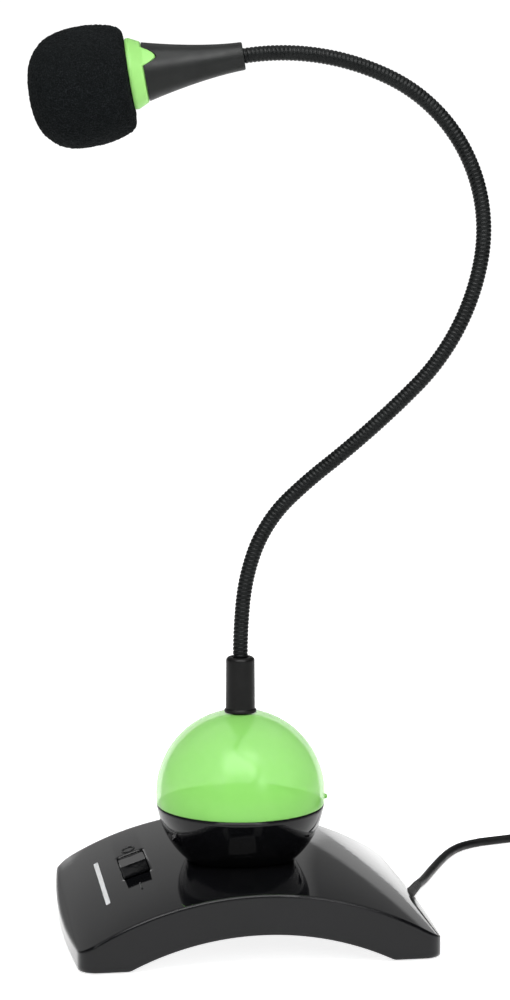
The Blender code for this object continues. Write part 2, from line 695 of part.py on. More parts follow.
def make_head(parts, looks):
    frame = head_matrix()
    outer = [(cone_radius(CONE_LENGTH * step / 9), CONE_LENGTH * step / 9) for step in range(9, 0, -1)]
    outer += [(CONE_NARROW, 0.8 * MM), (CONE_NARROW - 0.5 * MM, 0.0)]
    outer += [(NECK_BORE, 0.0), (NECK_BORE, 10.0 * MM)]
    outer += [(cone_radius(height * MM) - CONE_WALL, height * MM) for height in (16.0, 24.0, 32.0, 40.9)]
    cone = turned("head_cone", outer, True, 28)
    cone.matrix_world = frame
    finish(cone, parts, looks["satin_black"])

    low = CONE_LENGTH + GAP
    inside = GRILLE_RADIUS + GAP
    ring = turned("head_ring", ((RING_RADIUS, RING_TOP), (RING_RADIUS, RING_TOP - 2.0 * MM),
                                (CONE_WIDE + 0.1 * MM, low), (inside, low), (inside, RING_TOP)), True, 28)
    ring.matrix_world = frame
    finish(ring, parts, looks["green_solid"])

    top = GRILLE_TOP
    radius = GRILLE_RADIUS
    inner = radius - GRILLE_WALL
    crown = top - GRILLE_WALL
    profile = ((0.0, top), (radius * 0.5, top - 0.7 * MM), (radius * 0.87, top - 3.0 * MM),
               (radius, top - 6.5 * MM), (radius, GRILLE_BOTTOM), (inner, GRILLE_BOTTOM),
               (inner, top - 6.6 * MM), (radius * 0.8, top - 3.6 * MM), (radius * 0.45, crown - 0.7 * MM),
               (0.0, crown))
    grille = turned("capsule_grille", profile, False, 24)
    grille.matrix_world = frame
    finish(grille, parts, looks["steel"])

    seat = CAPSULE_RADIUS + GAP
    boot = turned("capsule_boot", ((BOOT_RADIUS, BOOT_TOP), (BOOT_RADIUS, BOOT_BOTTOM), (seat, BOOT_BOTTOM),
                                   (seat, BOOT_TOP)), True, 24)
    boot.matrix_world = frame
    finish(boot, parts, looks["rubber"])
    high = BOOT_TOP - 0.4 * MM
    low = BOOT_BOTTOM + 0.4 * MM
    can = ((0.0, high), (CAPSULE_RADIUS - GAP, high), (CAPSULE_RADIUS, high - 0.4 * MM),
           (CAPSULE_RADIUS, low), (0.0, low))
    capsule = turned("microphone_capsule", can, False, 24)
    capsule.matrix_world = frame
    finish(capsule, parts, looks["steel"])
    start = NECK_INTO_HEAD + 2 * GAP
    end = low - GAP
    points = [frame @ Vector((0.0, 0.0, start + (end - start) * step / 4)) for step in range(5)]
    finish(wire("capsule_lead", points, LEAD_RADIUS, 1), parts, looks["rubber"])

    outer = ((0.0, 90.0), (8.0, 89.2), (14.0, 87.4), (18.6, 84.4), (22.0, 80.0), (24.0, 75.0), (24.6, 69.0),
             (24.6, 62.0), (23.9, 57.0), (22.6, 52.2), (21.0, 49.2), (18.8, 47.8))
    profile = [(radius * MM, height * MM) for radius, height in outer]
    pocket = GRILLE_RADIUS + 0.35 * MM
    profile += [(pocket, FOAM_BOTTOM), (pocket, GRILLE_TOP - 3.0 * MM), (5.6 * MM, GRILLE_TOP + 0.5 * MM),
                (0.0, GRILLE_TOP + 0.8 * MM)]
    foam = turned("foam_windscreen", profile, False, 28)
    foam.matrix_world = frame
    finish(foam, parts, looks["foam"])


# ---------------------------------------------------------------- cord

CORD_ROUTE = (
    (83.83, 30.86, 3.9),
    (86.4, 36.4, 3.3),
    (90.0, 44.8, 2.4),
    (95.4, 57.0, 2.1),
    (102.6, 72.0, 2.1),
    (110.0, 86.0, 2.1),
    (118.2, 97.2, 2.1),
    (128.4, 104.2, 2.1),
    (140.6, 108.0, 2.1),
    (153.0, 111.6, 2.1),
    (165.0, 116.0, 2.1),
    (176.0, 120.0, 2.1),
)

TAIL_ROUTE = (
    (220.0, 92.0, 12.9),
    (220.6, 84.0, 11.6),
    (219.0, 74.0, 8.4),
    (214.4, 64.0, 5.2),
    (206.4, 55.6, 3.6),
    (197.0, 51.0, 4.3),
)

PLUG_PLACE = Vector((196.2, 50.7, 4.3)) * MM
PLUG_ANGLE = math.radians(204.0)


def make_strain_relief(parts, looks):
    """A tapered sleeve moulded on the cord, seated in the notch in the base's right-hand end."""
    high = RELIEF_LENGTH
    profile = ((0.0, high), (CORD_RADIUS, high), (RELIEF_RADIUS, 2.0 * MM), (RELIEF_RADIUS, -RELIEF_INSIDE),
               (0.0, -RELIEF_INSIDE))
    relief = turned("strain_relief", profile, False, 16)
    relief.rotation_euler = cord_direction().to_track_quat("Z", "Y").to_euler()
    relief.location = stand(*CORD_EXIT)
    finish(relief, parts, looks["rubber"])


def make_cord(parts, looks):
    points = smooth_route([stand(*(Vector(place) * MM)) for place in CORD_ROUTE], 6.0 * MM)
    finish(wire("cable", points, CORD_RADIUS, 2), parts, looks["cord"])
    low = COIL_FLOOR + COIL_CHAMFER
    high = COIL_HEIGHT - COIL_CHAMFER
    profile = ((COIL_OUTER, high), (COIL_OUTER, low), (COIL_OUTER - COIL_CHAMFER, COIL_FLOOR),
               (COIL_INNER + COIL_CHAMFER, COIL_FLOOR), (COIL_INNER, low), (COIL_INNER, high),
               (COIL_INNER + COIL_CHAMFER, COIL_HEIGHT), (COIL_OUTER - COIL_CHAMFER, COIL_HEIGHT))
    coil = turned("cable_coil", profile, True, 28)
    coil.location = stand(*COIL_CENTRE)
    finish(coil, parts, looks["cord"])
    points = smooth_route([stand(*(Vector(place) * MM)) for place in TAIL_ROUTE], 6.0 * MM)
    finish(wire("cable_tail", points, CORD_RADIUS, 2), parts, looks["cord"])


def make_plug(parts, looks):
    """A straight 3.5 mm two-pole jack plug lying beside the coil."""
    turn = Vector((math.cos(PLUG_ANGLE), math.sin(PLUG_ANGLE), 0.0)).to_track_quat("Z", "Y").to_euler()
    relief = ((0.0, 7.7), (2.9, 7.7), (2.3, 0.0), (0.0, 0.0))
    grip = ((0.0, 24.0), (3.0, 24.0), (4.1, 22.6), (4.1, 9.4), (3.4, 8.0), (0.0, 8.0))
    sleeve = ((0.0, 33.0), (1.75, 33.0), (1.75, 25.2), (2.6, 25.2), (2.6, 24.3), (0.0, 24.3))
    insulator = ((0.0, 34.2), (1.7, 34.2), (1.7, 33.3), (0.0, 33.3))
    tip = ((0.0, 38.5), (0.7, 38.2), (1.75, 36.4), (1.3, 35.4), (1.75, 34.9), (1.75, 34.5), (0.0, 34.5))
    pieces = (
        ("plug_relief", relief, "rubber"),
        ("plug_grip", grip, "matte_black"),
        ("plug_sleeve", sleeve, "brass"),
        ("plug_insulator", insulator, "matte_black"),
        ("plug_tip", tip, "brass"),
    )
    for name, profile, look in pieces:
        piece = turned(name, [(radius * MM, height * MM) for radius, height in profile], False, 16)
        piece.rotation_euler = turn
        piece.location = stand(*PLUG_PLACE)
        finish(piece, parts, looks[look])


# ---------------------------------------------------------------- object

def make_looks():
    return {
        "gloss_black": material("gloss_black", (0.012, 0.012, 0.014), 0.12),
        "satin_black": material("satin_black", (0.02, 0.02, 0.022), 0.45),
        "matte_black": material("matte_black", (0.02, 0.02, 0.02), 0.7),
        "rubber": material("rubber", (0.015, 0.015, 0.015), 0.85),
        "cord": material("cord", (0.015, 0.015, 0.016), 0.5),
        "steel": material("steel", (0.55, 0.55, 0.56), 0.35, 1.0),
        "iron": material("iron", (0.12, 0.12, 0.13), 0.6, 1.0),
        "brass": material("brass", (0.75, 0.58, 0.28), 0.3, 1.0),
        "green_clear": material("green_clear", (0.30, 0.75, 0.14), 0.3),
        "green_solid": material("green_solid", (0.36, 0.80, 0.12), 0.4),
        "foam": material("foam", (0.02, 0.02, 0.02), 0.95),
    }


def main():
    clear_scene()
    parts = collection(COLLECTION)
    cutters = collection("cutters")
    looks = make_looks()
    along = cord_direction()
    gland_tool = round_tool("gland_tool", RELIEF_RADIUS + GAP, stand(*(CORD_EXIT - along * 14.0 * MM)),
                            stand(*(CORD_EXIT + along * 20.0 * MM)), cutters)
    make_base_shell(parts, cutters, gland_tool, looks)
    make_base_cover(parts, cutters, gland_tool, looks)
    make_feet(parts, looks)
    make_cover_screws(parts, looks)
    make_ballast(parts, looks)
    make_switch(parts, cutters, looks)
    make_ball(parts, cutters, looks)
    make_pillar(parts, cutters, looks)
    make_collar(parts, looks)
    make_inner_leads(parts, looks)
    make_neck(parts, looks)
    make_head(parts, looks)
    make_strain_relief(parts, looks)
    make_cord(parts, looks)
    make_plug(parts, looks)


main()
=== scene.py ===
"""Looks of the gooseneck desk microphone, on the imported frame.  Units are metres, +Z is up."""

import json
import math

import bmesh
import bpy
from mathutils import Matrix, Vector, noise


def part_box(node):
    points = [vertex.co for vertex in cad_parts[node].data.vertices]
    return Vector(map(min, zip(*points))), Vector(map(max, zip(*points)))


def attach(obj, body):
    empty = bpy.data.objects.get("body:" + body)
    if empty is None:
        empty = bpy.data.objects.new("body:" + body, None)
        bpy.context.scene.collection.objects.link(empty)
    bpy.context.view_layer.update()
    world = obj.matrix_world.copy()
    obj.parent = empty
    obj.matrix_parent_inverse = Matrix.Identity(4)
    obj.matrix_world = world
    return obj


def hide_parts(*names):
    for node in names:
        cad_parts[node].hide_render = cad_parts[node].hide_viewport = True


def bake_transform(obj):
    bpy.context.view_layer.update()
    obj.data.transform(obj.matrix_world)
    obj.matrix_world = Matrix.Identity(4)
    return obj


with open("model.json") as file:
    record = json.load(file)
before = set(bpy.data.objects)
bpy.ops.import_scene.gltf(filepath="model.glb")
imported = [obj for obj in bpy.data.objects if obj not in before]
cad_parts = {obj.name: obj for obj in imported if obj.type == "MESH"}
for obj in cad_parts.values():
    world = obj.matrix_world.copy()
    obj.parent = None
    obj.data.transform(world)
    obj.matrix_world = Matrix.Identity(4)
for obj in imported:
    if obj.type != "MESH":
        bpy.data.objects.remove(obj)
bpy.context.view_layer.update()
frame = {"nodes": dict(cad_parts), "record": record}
NODES = frame["nodes"]
MM = 0.001


# ---------------------------------------------------------------- sizes read from the frame

def middle(node):
    low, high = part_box(node)
    return (low + high) / 2


AXIS = middle("ball_dome").xy
BALL_RADIUS = (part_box("ball_dome")[1].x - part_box("ball_dome")[0].x) / 2
BALL_FLAT = 34.9 * MM
BALL_CENTRE = Vector((AXIS.x, AXIS.y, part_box("ball_dome")[1].z - BALL_FLAT))
BALL_WALL = 2.2 * MM
BALL_INNER = BALL_RADIUS - BALL_WALL
SPLIT_Z = (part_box("ball_dome")[0].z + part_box("ball_bowl")[1].z) / 2
SPLIT_GAP = 0.15 * MM
BOWL_FLOOR = -23.3 * MM
BOWL_FOOT = -29.0 * MM
PILLAR_HOLE = 4.3 * MM
DOME_HOLE = 3.4 * MM
SADDLE_GAP = 0.3 * MM
BASE_LOW, BASE_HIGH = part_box("base_shell")
BASE_DEPTH = BASE_HIGH.y - BASE_LOW.y
BASE_BULGE = 3.6 * MM
BASE_WIDTH = BASE_HIGH.x - BASE_LOW.x - 2 * BASE_BULGE
BASE_MIDDLE = Vector((AXIS.x, (BASE_LOW.y + BASE_HIGH.y) / 2, 0.0))
BASE_APEX = BASE_HIGH.z
BASE_BOTTOM = BASE_LOW.z
BASE_END_HEIGHT = 8.6 * MM
BASE_THICKNESS = 16.5 * MM
BASE_CORNER = 7.0 * MM
BASE_EDGE = 2.6 * MM
WALL = 2.5 * MM
ARCH_RISE = BASE_APEX - BASE_END_HEIGHT
ARCH_RADIUS = (BASE_WIDTH ** 2 / 4 + ARCH_RISE ** 2) / (2 * ARCH_RISE)
ARCH_CENTRE_Z = BASE_APEX - ARCH_RADIUS
UNDER_RADIUS = ARCH_RADIUS - BASE_THICKNESS
COLLAR_LOW, COLLAR_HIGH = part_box("neck_collar")
COLLAR_FOOT = COLLAR_LOW.z + 5.2 * MM
COLLAR_LIP = 6.8 * MM

# Rocker switch and markings, placed from the ball's axis; the stripe and the bar are in millimetres.
SWITCH_X = -44.5 * MM
SWITCH_Y = 15.5 * MM
WELL_WIDTH = 12.2 * MM
WELL_LENGTH = 36.4 * MM
WELL_DEPTH = 6.0 * MM
ROCKER_WIDTH = 11.4 * MM
ROCKER_HALF = 17.0 * MM
ROCKER_END = 6.8 * MM
ROCKER_MIDDLE = 4.8 * MM
ROCKER_DEPTH = 4.5 * MM
ROCKER_TILT = math.radians(-10.0)
OFF_SYMBOL_Y = 39.6 * MM
OFF_SYMBOL_RADII = (2.6 * MM, 3.4 * MM)
ON_SYMBOL_START = -15.0
ON_SYMBOL_LENGTH = 8
SYMBOL_LIFT = 0.1 * MM
STRIPE_X = (-59.6, -59.0, -58.4, -57.8)
STRIPE_START = -24.0
STRIPE_LENGTH = 64.0

# The neck's plane and the camera are both turned this far from the base's front.
VIEW_YAW = math.radians(-8.4)

# The neck runs through bends of (millimetres, degrees); a positive turn leans to the right.
NECK_BENDS = (
    (23.0, 5.5),
    (20.0, 12.5),
    (30.0, 28.0),
    (20.0, 5.5),
    (50.0, -7.0),
    (60.0, -35.0),
    (50.0, -40.5),
    (40.0, -33.5),
    (61.5, -34.5),
)
NECK_LENGTH = sum(length for length, turn in NECK_BENDS) * MM
NECK_STATIONS = tuple(station * MM for station in (10.0, 70.0, 130.0, 190.0, 250.0, 315.0))
NECK_RADIUS = 3.2 * MM
RIB_PITCH = 1.7 * MM
RIB_DEPTH = 0.45 * MM
RIB_SIDES = 24
RIB_STEPS = 8
NECK_BORE = NECK_RADIUS + 0.35 * MM
BEND_REACH = 18.0 * MM

# Head, measured along its own axis from the narrow end of the cone.
CONE_LENGTH = 40.9 * MM
CONE_NARROW = 5.75 * MM
CONE_WIDE = 12.1 * MM
RING_TOP = 47.4 * MM
RING_RADIUS = 14.6 * MM
TONGUE_LENGTH = 5.4 * MM
TONGUE_HALF_ANGLE = math.radians(22.0)
TONGUE_ANGLES = (math.radians(-58.0), math.radians(122.0))
TROUGH_DEPTH = 0.9 * MM
HEAD_SIDES = 192
RING_BORE = 8.3 * MM
RING_STEP = 0.15 * MM

# Foam windscreen, as (radius, height) points in millimetres from the floor of its pocket outwards.
FOAM_OUTLINE = (
    (4.0, 80.9), (8.4, 77.0), (8.4, 49.2), (9.2, 48.0), (13.0, 47.85), (18.0, 47.9), (20.6, 49.1),
    (22.4, 52.2), (23.7, 57.0), (24.3, 62.0), (24.3, 69.0), (23.7, 75.0), (21.8, 80.0), (18.4, 84.2),
    (13.8, 87.2), (8.0, 88.9), (3.0, 89.5),
)
FOAM_TOP = 89.6 * MM
FOAM_MIDDLE = 68.0 * MM
FOAM_POCKET = 8.4 * MM
FOAM_SAG = 1.7 * MM

# Cord; its routes are in millimetres from the ball's axis.
CORD_RADIUS = 2.0 * MM
CORD_EXIT = Vector((78.2, 18.8, 3.9)) * MM
CORD_EXIT_ANGLE = math.radians(65.0)
RELIEF_LENGTH = 13.0 * MM
RELIEF_RADIUS = 2.3 * MM
ROUTE_STEP = 6.0 * MM
COIL_CENTRE = Vector((186.0, 88.0, 0.0)) * MM
COIL_COLUMNS = tuple(radius * MM for radius in (28.2, 24.1, 20.0))
COIL_LAYER = 4.1 * MM
COIL_CHANGE = 0.18
COIL_START = math.radians(107.0)
COIL_TURNS = 11.28
CORD_ROUTE = (
    (83.83, 30.86, 3.9),
    (86.4, 36.4, 3.3),
    (90.0, 44.8, 2.4),
    (95.4, 57.0, 2.1),
    (102.6, 72.0, 2.1),
    (110.0, 86.0, 2.1),
    (118.2, 97.2, 2.1),
    (128.4, 104.2, 2.1),
    (140.6, 108.0, 2.1),
    (153.0, 111.6, 2.1),
    (165.0, 116.0, 2.1),
    (176.0, 120.0, 2.1),
)
TAIL_ROUTE = (
    (220.0, 92.0, 12.9),
    (220.6, 84.0, 11.6),
    (219.0, 74.0, 8.4),
    (214.4, 64.0, 5.2),
    (206.4, 55.6, 3.6),
    (197.0, 51.0, 4.3),
)
PLUG_PLACE = Vector((196.2, 50.7, 4.3)) * MM
PLUG_ANGLE = math.radians(204.0)

# Camera, measured from the foot of the ball's axis along the viewing direction, and studio.
CAMERA_SIDE = 6.2 * MM
CAMERA_BACK = 1040.5 * MM
CAMERA_HEIGHT = 310.6 * MM
CAMERA_PITCH = math.radians(7.06)
CAMERA_LENS = 90.0
FLOOR_HALF = 2.6
FLOOR_GLOW = 0.82
WORLD_STRENGTH = 1.08


def stand(x=0.0, y=0.0, z=0.0):
    """A place given from the ball's axis, in world metres."""
    return Vector((AXIS.x + x, AXIS.y + y, z))


# ---------------------------------------------------------------- camera

def make_camera():
    data = bpy.data.cameras.new("camera")
    data.lens = CAMERA_LENS
    data.sensor_width = 36.0
    item = bpy.data.objects.new("camera", data)
    bpy.context.scene.collection.objects.link(item)
    turn = Matrix.Rotation(VIEW_YAW, 3, "Z")
    item.location = stand() + turn @ Vector((CAMERA_SIDE, -CAMERA_BACK, CAMERA_HEIGHT))
    item.rotation_euler = (math.pi / 2 - CAMERA_PITCH, 0.0, VIEW_YAW)
    bpy.context.scene.camera = item


# ---------------------------------------------------------------- materials

class Look:
    """One Principled material and the textures that feed it, all in object coordinates."""

    def __init__(self, name, colour, roughness, **constants):
        self.material = bpy.data.materials.new(name)
        self.material.use_nodes = True
        self.tree = self.material.node_tree
        self.shader = self.tree.nodes["Principled BSDF"]
        self.place = self.tree.nodes.new("ShaderNodeTexCoord").outputs["Object"]
        self.colour = (*colour, 1.0)
        self.shader.inputs["Base Color"].default_value = self.colour
        self.shader.inputs["Roughness"].default_value = roughness
        for key, value in constants.items():
            self.shader.inputs[key.replace("_", " ")].default_value = value

    def noise(self, scale, detail=4.0, stretch=None):
        node = self.tree.nodes.new("ShaderNodeTexNoise")
        node.inputs["Scale"].default_value = scale
        node.inputs["Detail"].default_value = detail
        node.inputs["Roughness"].default_value = 0.55
        self.tree.links.new(self.stretched(stretch) if stretch else self.place, node.inputs["Vector"])
        return node.outputs["Fac"]

    def cells(self, scale):
        node = self.tree.nodes.new("ShaderNodeTexVoronoi")
        node.inputs["Scale"].default_value = scale
        self.tree.links.new(self.place, node.inputs["Vector"])
        return node.outputs["Distance"]

    def stretched(self, stretch):
        node = self.tree.nodes.new("ShaderNodeMapping")
        node.inputs["Scale"].default_value = stretch
        self.tree.links.new(self.place, node.inputs["Vector"])
        return node.outputs["Vector"]

    def between(self, source, low, high, start=0.3, end=0.7):
        """The source's range from start to end becomes low to high."""
        node = self.tree.nodes.new("ShaderNodeMapRange")
        for key, value in (("From Min", start), ("From Max", end), ("To Min", low), ("To Max", high)):
            node.inputs[key].default_value = value
        self.tree.links.new(source, node.inputs["Value"])
        return node.outputs["Result"]

    def rough(self, source, low, high):
        self.tree.links.new(self.between(source, low, high), self.shader.inputs["Roughness"])
        return self

    def tint(self, source, other, start=0.3, end=0.7):
        """Blends the base colour towards another where the source is high."""
        node = self.tree.nodes.new("ShaderNodeMix")
        node.data_type = "RGBA"
        node.inputs["A"].default_value = self.colour
        node.inputs["B"].default_value = (*other, 1.0)
        self.tree.links.new(self.between(source, 0.0, 1.0, start, end), node.inputs["Factor"])
        self.tree.links.new(node.outputs["Result"], self.shader.inputs["Base Color"])
        return self

    def bump(self, source, distance):
        """Raises the surface where the source is high, on top of the normals it already has."""
        node = self.tree.nodes.new("ShaderNodeBump")
        node.inputs["Strength"].default_value = 1.0
        node.inputs["Distance"].default_value = distance
        self.tree.links.new(source, node.inputs["Height"])
        normal = self.shader.inputs["Normal"]
        if normal.is_linked:
            self.tree.links.new(normal.links[0].from_socket, node.inputs["Normal"])
        self.tree.links.new(node.outputs["Normal"], normal)
        return self


def gloss_black(name, edge_radius):
    """Polished black plastic whose sharp edges catch the light as if rounded to this radius."""
    look = Look(name, (0.0030, 0.0032, 0.0036), 0.05, IOR=1.31)
    look.rough(look.noise(60.0), 0.03, 0.07)
    look.tint(look.noise(25.0), (0.0045, 0.0045, 0.0055))
    edge = look.tree.nodes.new("ShaderNodeBevel")
    edge.samples = 8
    edge.inputs["Radius"].default_value = edge_radius
    look.tree.links.new(edge.outputs["Normal"], look.shader.inputs["Normal"])
    return look.bump(look.noise(220.0, 2.0), 0.000015).material


def satin_black():
    look = Look("satin_black", (0.003, 0.003, 0.003), 0.38, IOR=1.25)
    look.rough(look.noise(300.0), 0.32, 0.44)
    look.tint(look.noise(90.0), (0.007, 0.007, 0.007))
    return look.bump(look.noise(3500.0, 2.0), 0.00002).material


def head_black():
    look = Look("head_black", (0.0042, 0.0048, 0.0046), 0.34, IOR=1.27)
    look.rough(look.noise(260.0), 0.36, 0.50)
    look.tint(look.noise(70.0), (0.009, 0.010, 0.0095))
    return look.bump(look.noise(4200.0, 2.0), 0.000018).material


def neck_jacket():
    look = Look("neck_jacket", (0.0020, 0.0026, 0.0026), 0.36, IOR=1.21)
    look.rough(look.noise(500.0), 0.30, 0.46)
    look.tint(look.noise(120.0), (0.007, 0.008, 0.008))
    return look.bump(look.noise(5000.0, 2.0), 0.00002).material


def matte_black():
    look = Look("matte_black", (0.018, 0.018, 0.019), 0.6)
    look.rough(look.noise(400.0), 0.52, 0.68)
    look.tint(look.noise(120.0), (0.026, 0.026, 0.027))
    return look.bump(look.cells(2600.0), 0.00005).material


def rubber():
    look = Look("rubber", (0.014, 0.014, 0.014), 0.78)
    look.rough(look.noise(500.0), 0.70, 0.86)
    look.tint(look.noise(150.0), (0.028, 0.027, 0.026))
    return look.bump(look.noise(3800.0, 3.0), 0.00004).material


def cord_jacket():
    look = Look("cord_jacket", (0.0024, 0.0024, 0.0026), 0.42, IOR=1.28)
    look.rough(look.noise(350.0), 0.36, 0.52)
    look.tint(look.noise(90.0), (0.007, 0.007, 0.0072))
    return look.bump(look.noise(2600.0, 3.0), 0.00003).material


def steel():
    look = Look("steel", (0.56, 0.56, 0.58), 0.3, Metallic=1.0)
    look.rough(look.noise(600.0, stretch=(1.0, 1.0, 0.15)), 0.22, 0.42)
    look.tint(look.noise(160.0), (0.44, 0.43, 0.42))
    return look.bump(look.noise(4000.0, 3.0, stretch=(1.0, 1.0, 0.1)), 0.00001).material


def iron():
    look = Look("iron", (0.10, 0.10, 0.105), 0.6, Metallic=0.9)
    look.rough(look.noise(300.0), 0.5, 0.8)
    look.tint(look.noise(120.0), (0.17, 0.14, 0.12))
    return look.bump(look.cells(900.0), 0.0002).material


def brass():
    look = Look("brass", (0.80, 0.62, 0.30), 0.2, Metallic=1.0)
    look.rough(look.noise(700.0), 0.14, 0.30)
    look.tint(look.noise(200.0), (0.68, 0.50, 0.24))
    return look.bump(look.noise(4000.0, 2.0), 0.000006).material


def green_clear():
    """The dome's plastic: its outside lets a fifth of the light through, its inside all of it."""
    look = Look("green_clear", (0.285, 0.735, 0.15), 0.22, IOR=1.25)
    look.rough(look.noise(120.0), 0.15, 0.23)
    look.tint(look.noise(40.0), (0.32, 0.77, 0.175))
    inside = look.tree.nodes.new("ShaderNodeNewGeometry").outputs["Backfacing"]
    look.tree.links.new(look.between(inside, 0.80, 0.0, 0.0, 1.0), look.shader.inputs["Alpha"])
    return look.bump(look.noise(1500.0, 2.0), 0.00001).material


def green_solid():
    look = Look("green_solid", (0.255, 0.575, 0.14), 0.36, IOR=1.22)
    look.rough(look.noise(200.0), 0.32, 0.42)
    look.tint(look.noise(60.0), (0.30, 0.635, 0.18))
    return look.bump(look.noise(3200.0, 2.0), 0.000015).material


def foam():
    look = Look("foam", (0.0015, 0.0025, 0.0028), 0.95, Specular_IOR_Level=0.08)
    look.tint(look.cells(1900.0), (0.010, 0.012, 0.013), 0.45, 0.85)
    look.rough(look.noise(900.0), 0.85, 1.0)
    look.bump(look.cells(1900.0), 0.0005)
    return look.bump(look.noise(2600.0, 3.0), 0.0003).material


def white_print():
    look = Look("white_print", (0.78, 0.79, 0.80), 0.4)
    look.rough(look.noise(400.0), 0.34, 0.48)
    look.tint(look.noise(900.0), (0.66, 0.67, 0.68), 0.5, 0.8)
    return look.bump(look.noise(3000.0, 2.0), 0.00001).material


LOOKS = {
    "gloss_black": gloss_black("gloss_black", 2.1 * MM),
    "rocker_black": gloss_black("rocker_black", 0.5 * MM),
    "satin_black": satin_black(),
    "head_black": head_black(),
    "neck_jacket": neck_jacket(),
    "matte_black": matte_black(),
    "rubber": rubber(),
    "cord": cord_jacket(),
    "steel": steel(),
    "iron": iron(),
    "brass": brass(),
    "green_clear": green_clear(),
    "green_solid": green_solid(),
    "foam": foam(),
    "white_print": white_print(),
}


# ---------------------------------------------------------------- mesh helpers

def add_object(name, data, look, smooth_angle=40.0):
    item = bpy.data.objects.new(name, data)
    bpy.context.scene.collection.objects.link(item)
    data.materials.clear()
    data.materials.append(LOOKS[look])
    if isinstance(data, bpy.types.Mesh) and smooth_angle:
        data.shade_smooth()
        data.set_sharp_from_angle(angle=math.radians(smooth_angle))
    return item


def place_piece(item, body, slot=None, *replaced):
    """The piece rides on its body and replaces the named CAD nodes; its slot is not used."""
    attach(item, body)
    if replaced:
        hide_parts(*replaced)
    return item


def grid_mesh(name, rows, closed_round=True, closed_ends=False):
    """A surface through rows of points; the rows can be loops, and the last can join the first."""
    mesh = bpy.data.meshes.new(name)
    sheet = bmesh.new()
    made = [[sheet.verts.new(place) for place in row] for row in rows]
    pairs = list(zip(made, made[1:]))
    if closed_ends:
        pairs.append((made[-1], made[0]))
    for first, second in pairs:
        count = len(first)
        for step in range(count if closed_round else count - 1):
            other = (step + 1) % count
            sheet.faces.new((first[step], first[other], second[other], second[step]))
    sheet.normal_update()
    sheet.to_mesh(mesh)
    sheet.free()
    return mesh


def outward(mesh):
    """The same mesh with its faces turned outwards."""
    sheet = bmesh.new()
    sheet.from_mesh(mesh)
    bmesh.ops.recalc_face_normals(sheet, faces=sheet.faces)
    sheet.to_mesh(mesh)
    sheet.free()
    return mesh


def rounded_profile(points, radius, steps=4):
    """Rounds the corners of an open profile of (radius, height) points."""
    places = [Vector(point) for point in points]
    rounded = [places[0]]
    for before, corner, after in zip(places, places[1:], places[2:]):
        into = (before - corner).normalized()
        out = (after - corner).normalized()
        reach = min(radius, (before - corner).length * 0.45, (after - corner).length * 0.45)
        start, end = corner + into * reach, corner + out * reach
        for step in range(steps + 1):
            t = step / steps
            rounded.append(start.lerp(corner, t).lerp(corner.lerp(end, t), t))
    rounded.append(places[-1])
    return [tuple(place) for place in rounded]


def turned_mesh(name, profile, sides=96, closed=False):
    """A turned surface; a profile point on the axis becomes a single vertex."""
    rows = []
    for radius, height in profile:
        rows.append([Vector((radius * math.cos(2 * math.pi * k / sides),
                             radius * math.sin(2 * math.pi * k / sides), height)) for k in range(sides)])
    mesh = grid_mesh(name, rows, True, closed)
    sheet = bmesh.new()
    sheet.from_mesh(mesh)
    bmesh.ops.remove_doubles(sheet, verts=sheet.verts, dist=0.0000005)
    bmesh.ops.recalc_face_normals(sheet, faces=sheet.faces)
    sheet.to_mesh(mesh)
    sheet.free()
    return mesh


def curve_mesh(item):
    """The welded mesh of a curve object, which is removed."""
    bpy.context.scene.collection.objects.link(item)
    graph = bpy.context.evaluated_depsgraph_get()
    mesh = bpy.data.meshes.new_from_object(item.evaluated_get(graph))
    mesh.transform(item.matrix_world)
    bpy.data.objects.remove(item, do_unlink=True)
    sheet = bmesh.new()
    sheet.from_mesh(mesh)
    bmesh.ops.remove_doubles(sheet, verts=sheet.verts, dist=0.000001)
    sheet.to_mesh(mesh)
    sheet.free()
    return mesh


def plate_mesh(name, outline, thickness):
    """A flat outline in local XY, thickened evenly along local Z."""
    curve = bpy.data.curves.new(name, "CURVE")
    curve.dimensions = "2D"
    curve.fill_mode = "BOTH"
    curve.extrude = thickness / 2
    spline = curve.splines.new("POLY")
    spline.points.add(len(outline) - 1)
    for point, (x, y) in zip(spline.points, outline):
        point.co = (x, y, 0.0, 1.0)
    spline.use_cyclic_u = True
    return curve_mesh(bpy.data.objects.new(name, curve))


def tool(name, mesh):
    """A hidden cutter."""
    item = bpy.data.objects.new(name, mesh)
    bpy.context.scene.collection.objects.link(item)
    item.hide_render = True
    return item


def cylinder_mesh(name, radius, start, end, sides):
    """A capped cylinder between two places."""
    along = Vector(end) - Vector(start)
    sheet = bmesh.new()
    bmesh.ops.create_cone(sheet, cap_ends=True, segments=sides, radius1=radius, radius2=radius,
                          depth=along.length)
    mesh = bpy.data.meshes.new(name)
    sheet.to_mesh(mesh)
    sheet.free()
    turn = along.to_track_quat("Z", "Y").to_matrix().to_4x4()
    mesh.transform(Matrix.Translation((Vector(start) + Vector(end)) / 2) @ turn)
    return mesh


def bake_modifiers(item):
    """Writes the item's modifiers into its mesh."""
    graph = bpy.context.evaluated_depsgraph_get()
    mesh = bpy.data.meshes.new_from_object(item.evaluated_get(graph))
    item.modifiers.clear()
    item.data = mesh


def carve(item, operation, *cutters):
    """Applies one Boolean for each cutter's mesh, in order, then removes the cutters."""
    tools = [tool("tool", mesh) for mesh in cutters]
    for cutter in tools:
        cut = item.modifiers.new("cut", "BOOLEAN")
        cut.operation = operation
        cut.solver = "EXACT"
        cut.object = cutter
    bake_modifiers(item)
    for cutter in tools:
        bpy.data.objects.remove(cutter, do_unlink=True)
    item.data.shade_smooth()
    item.data.set_sharp_from_angle(angle=math.radians(32))


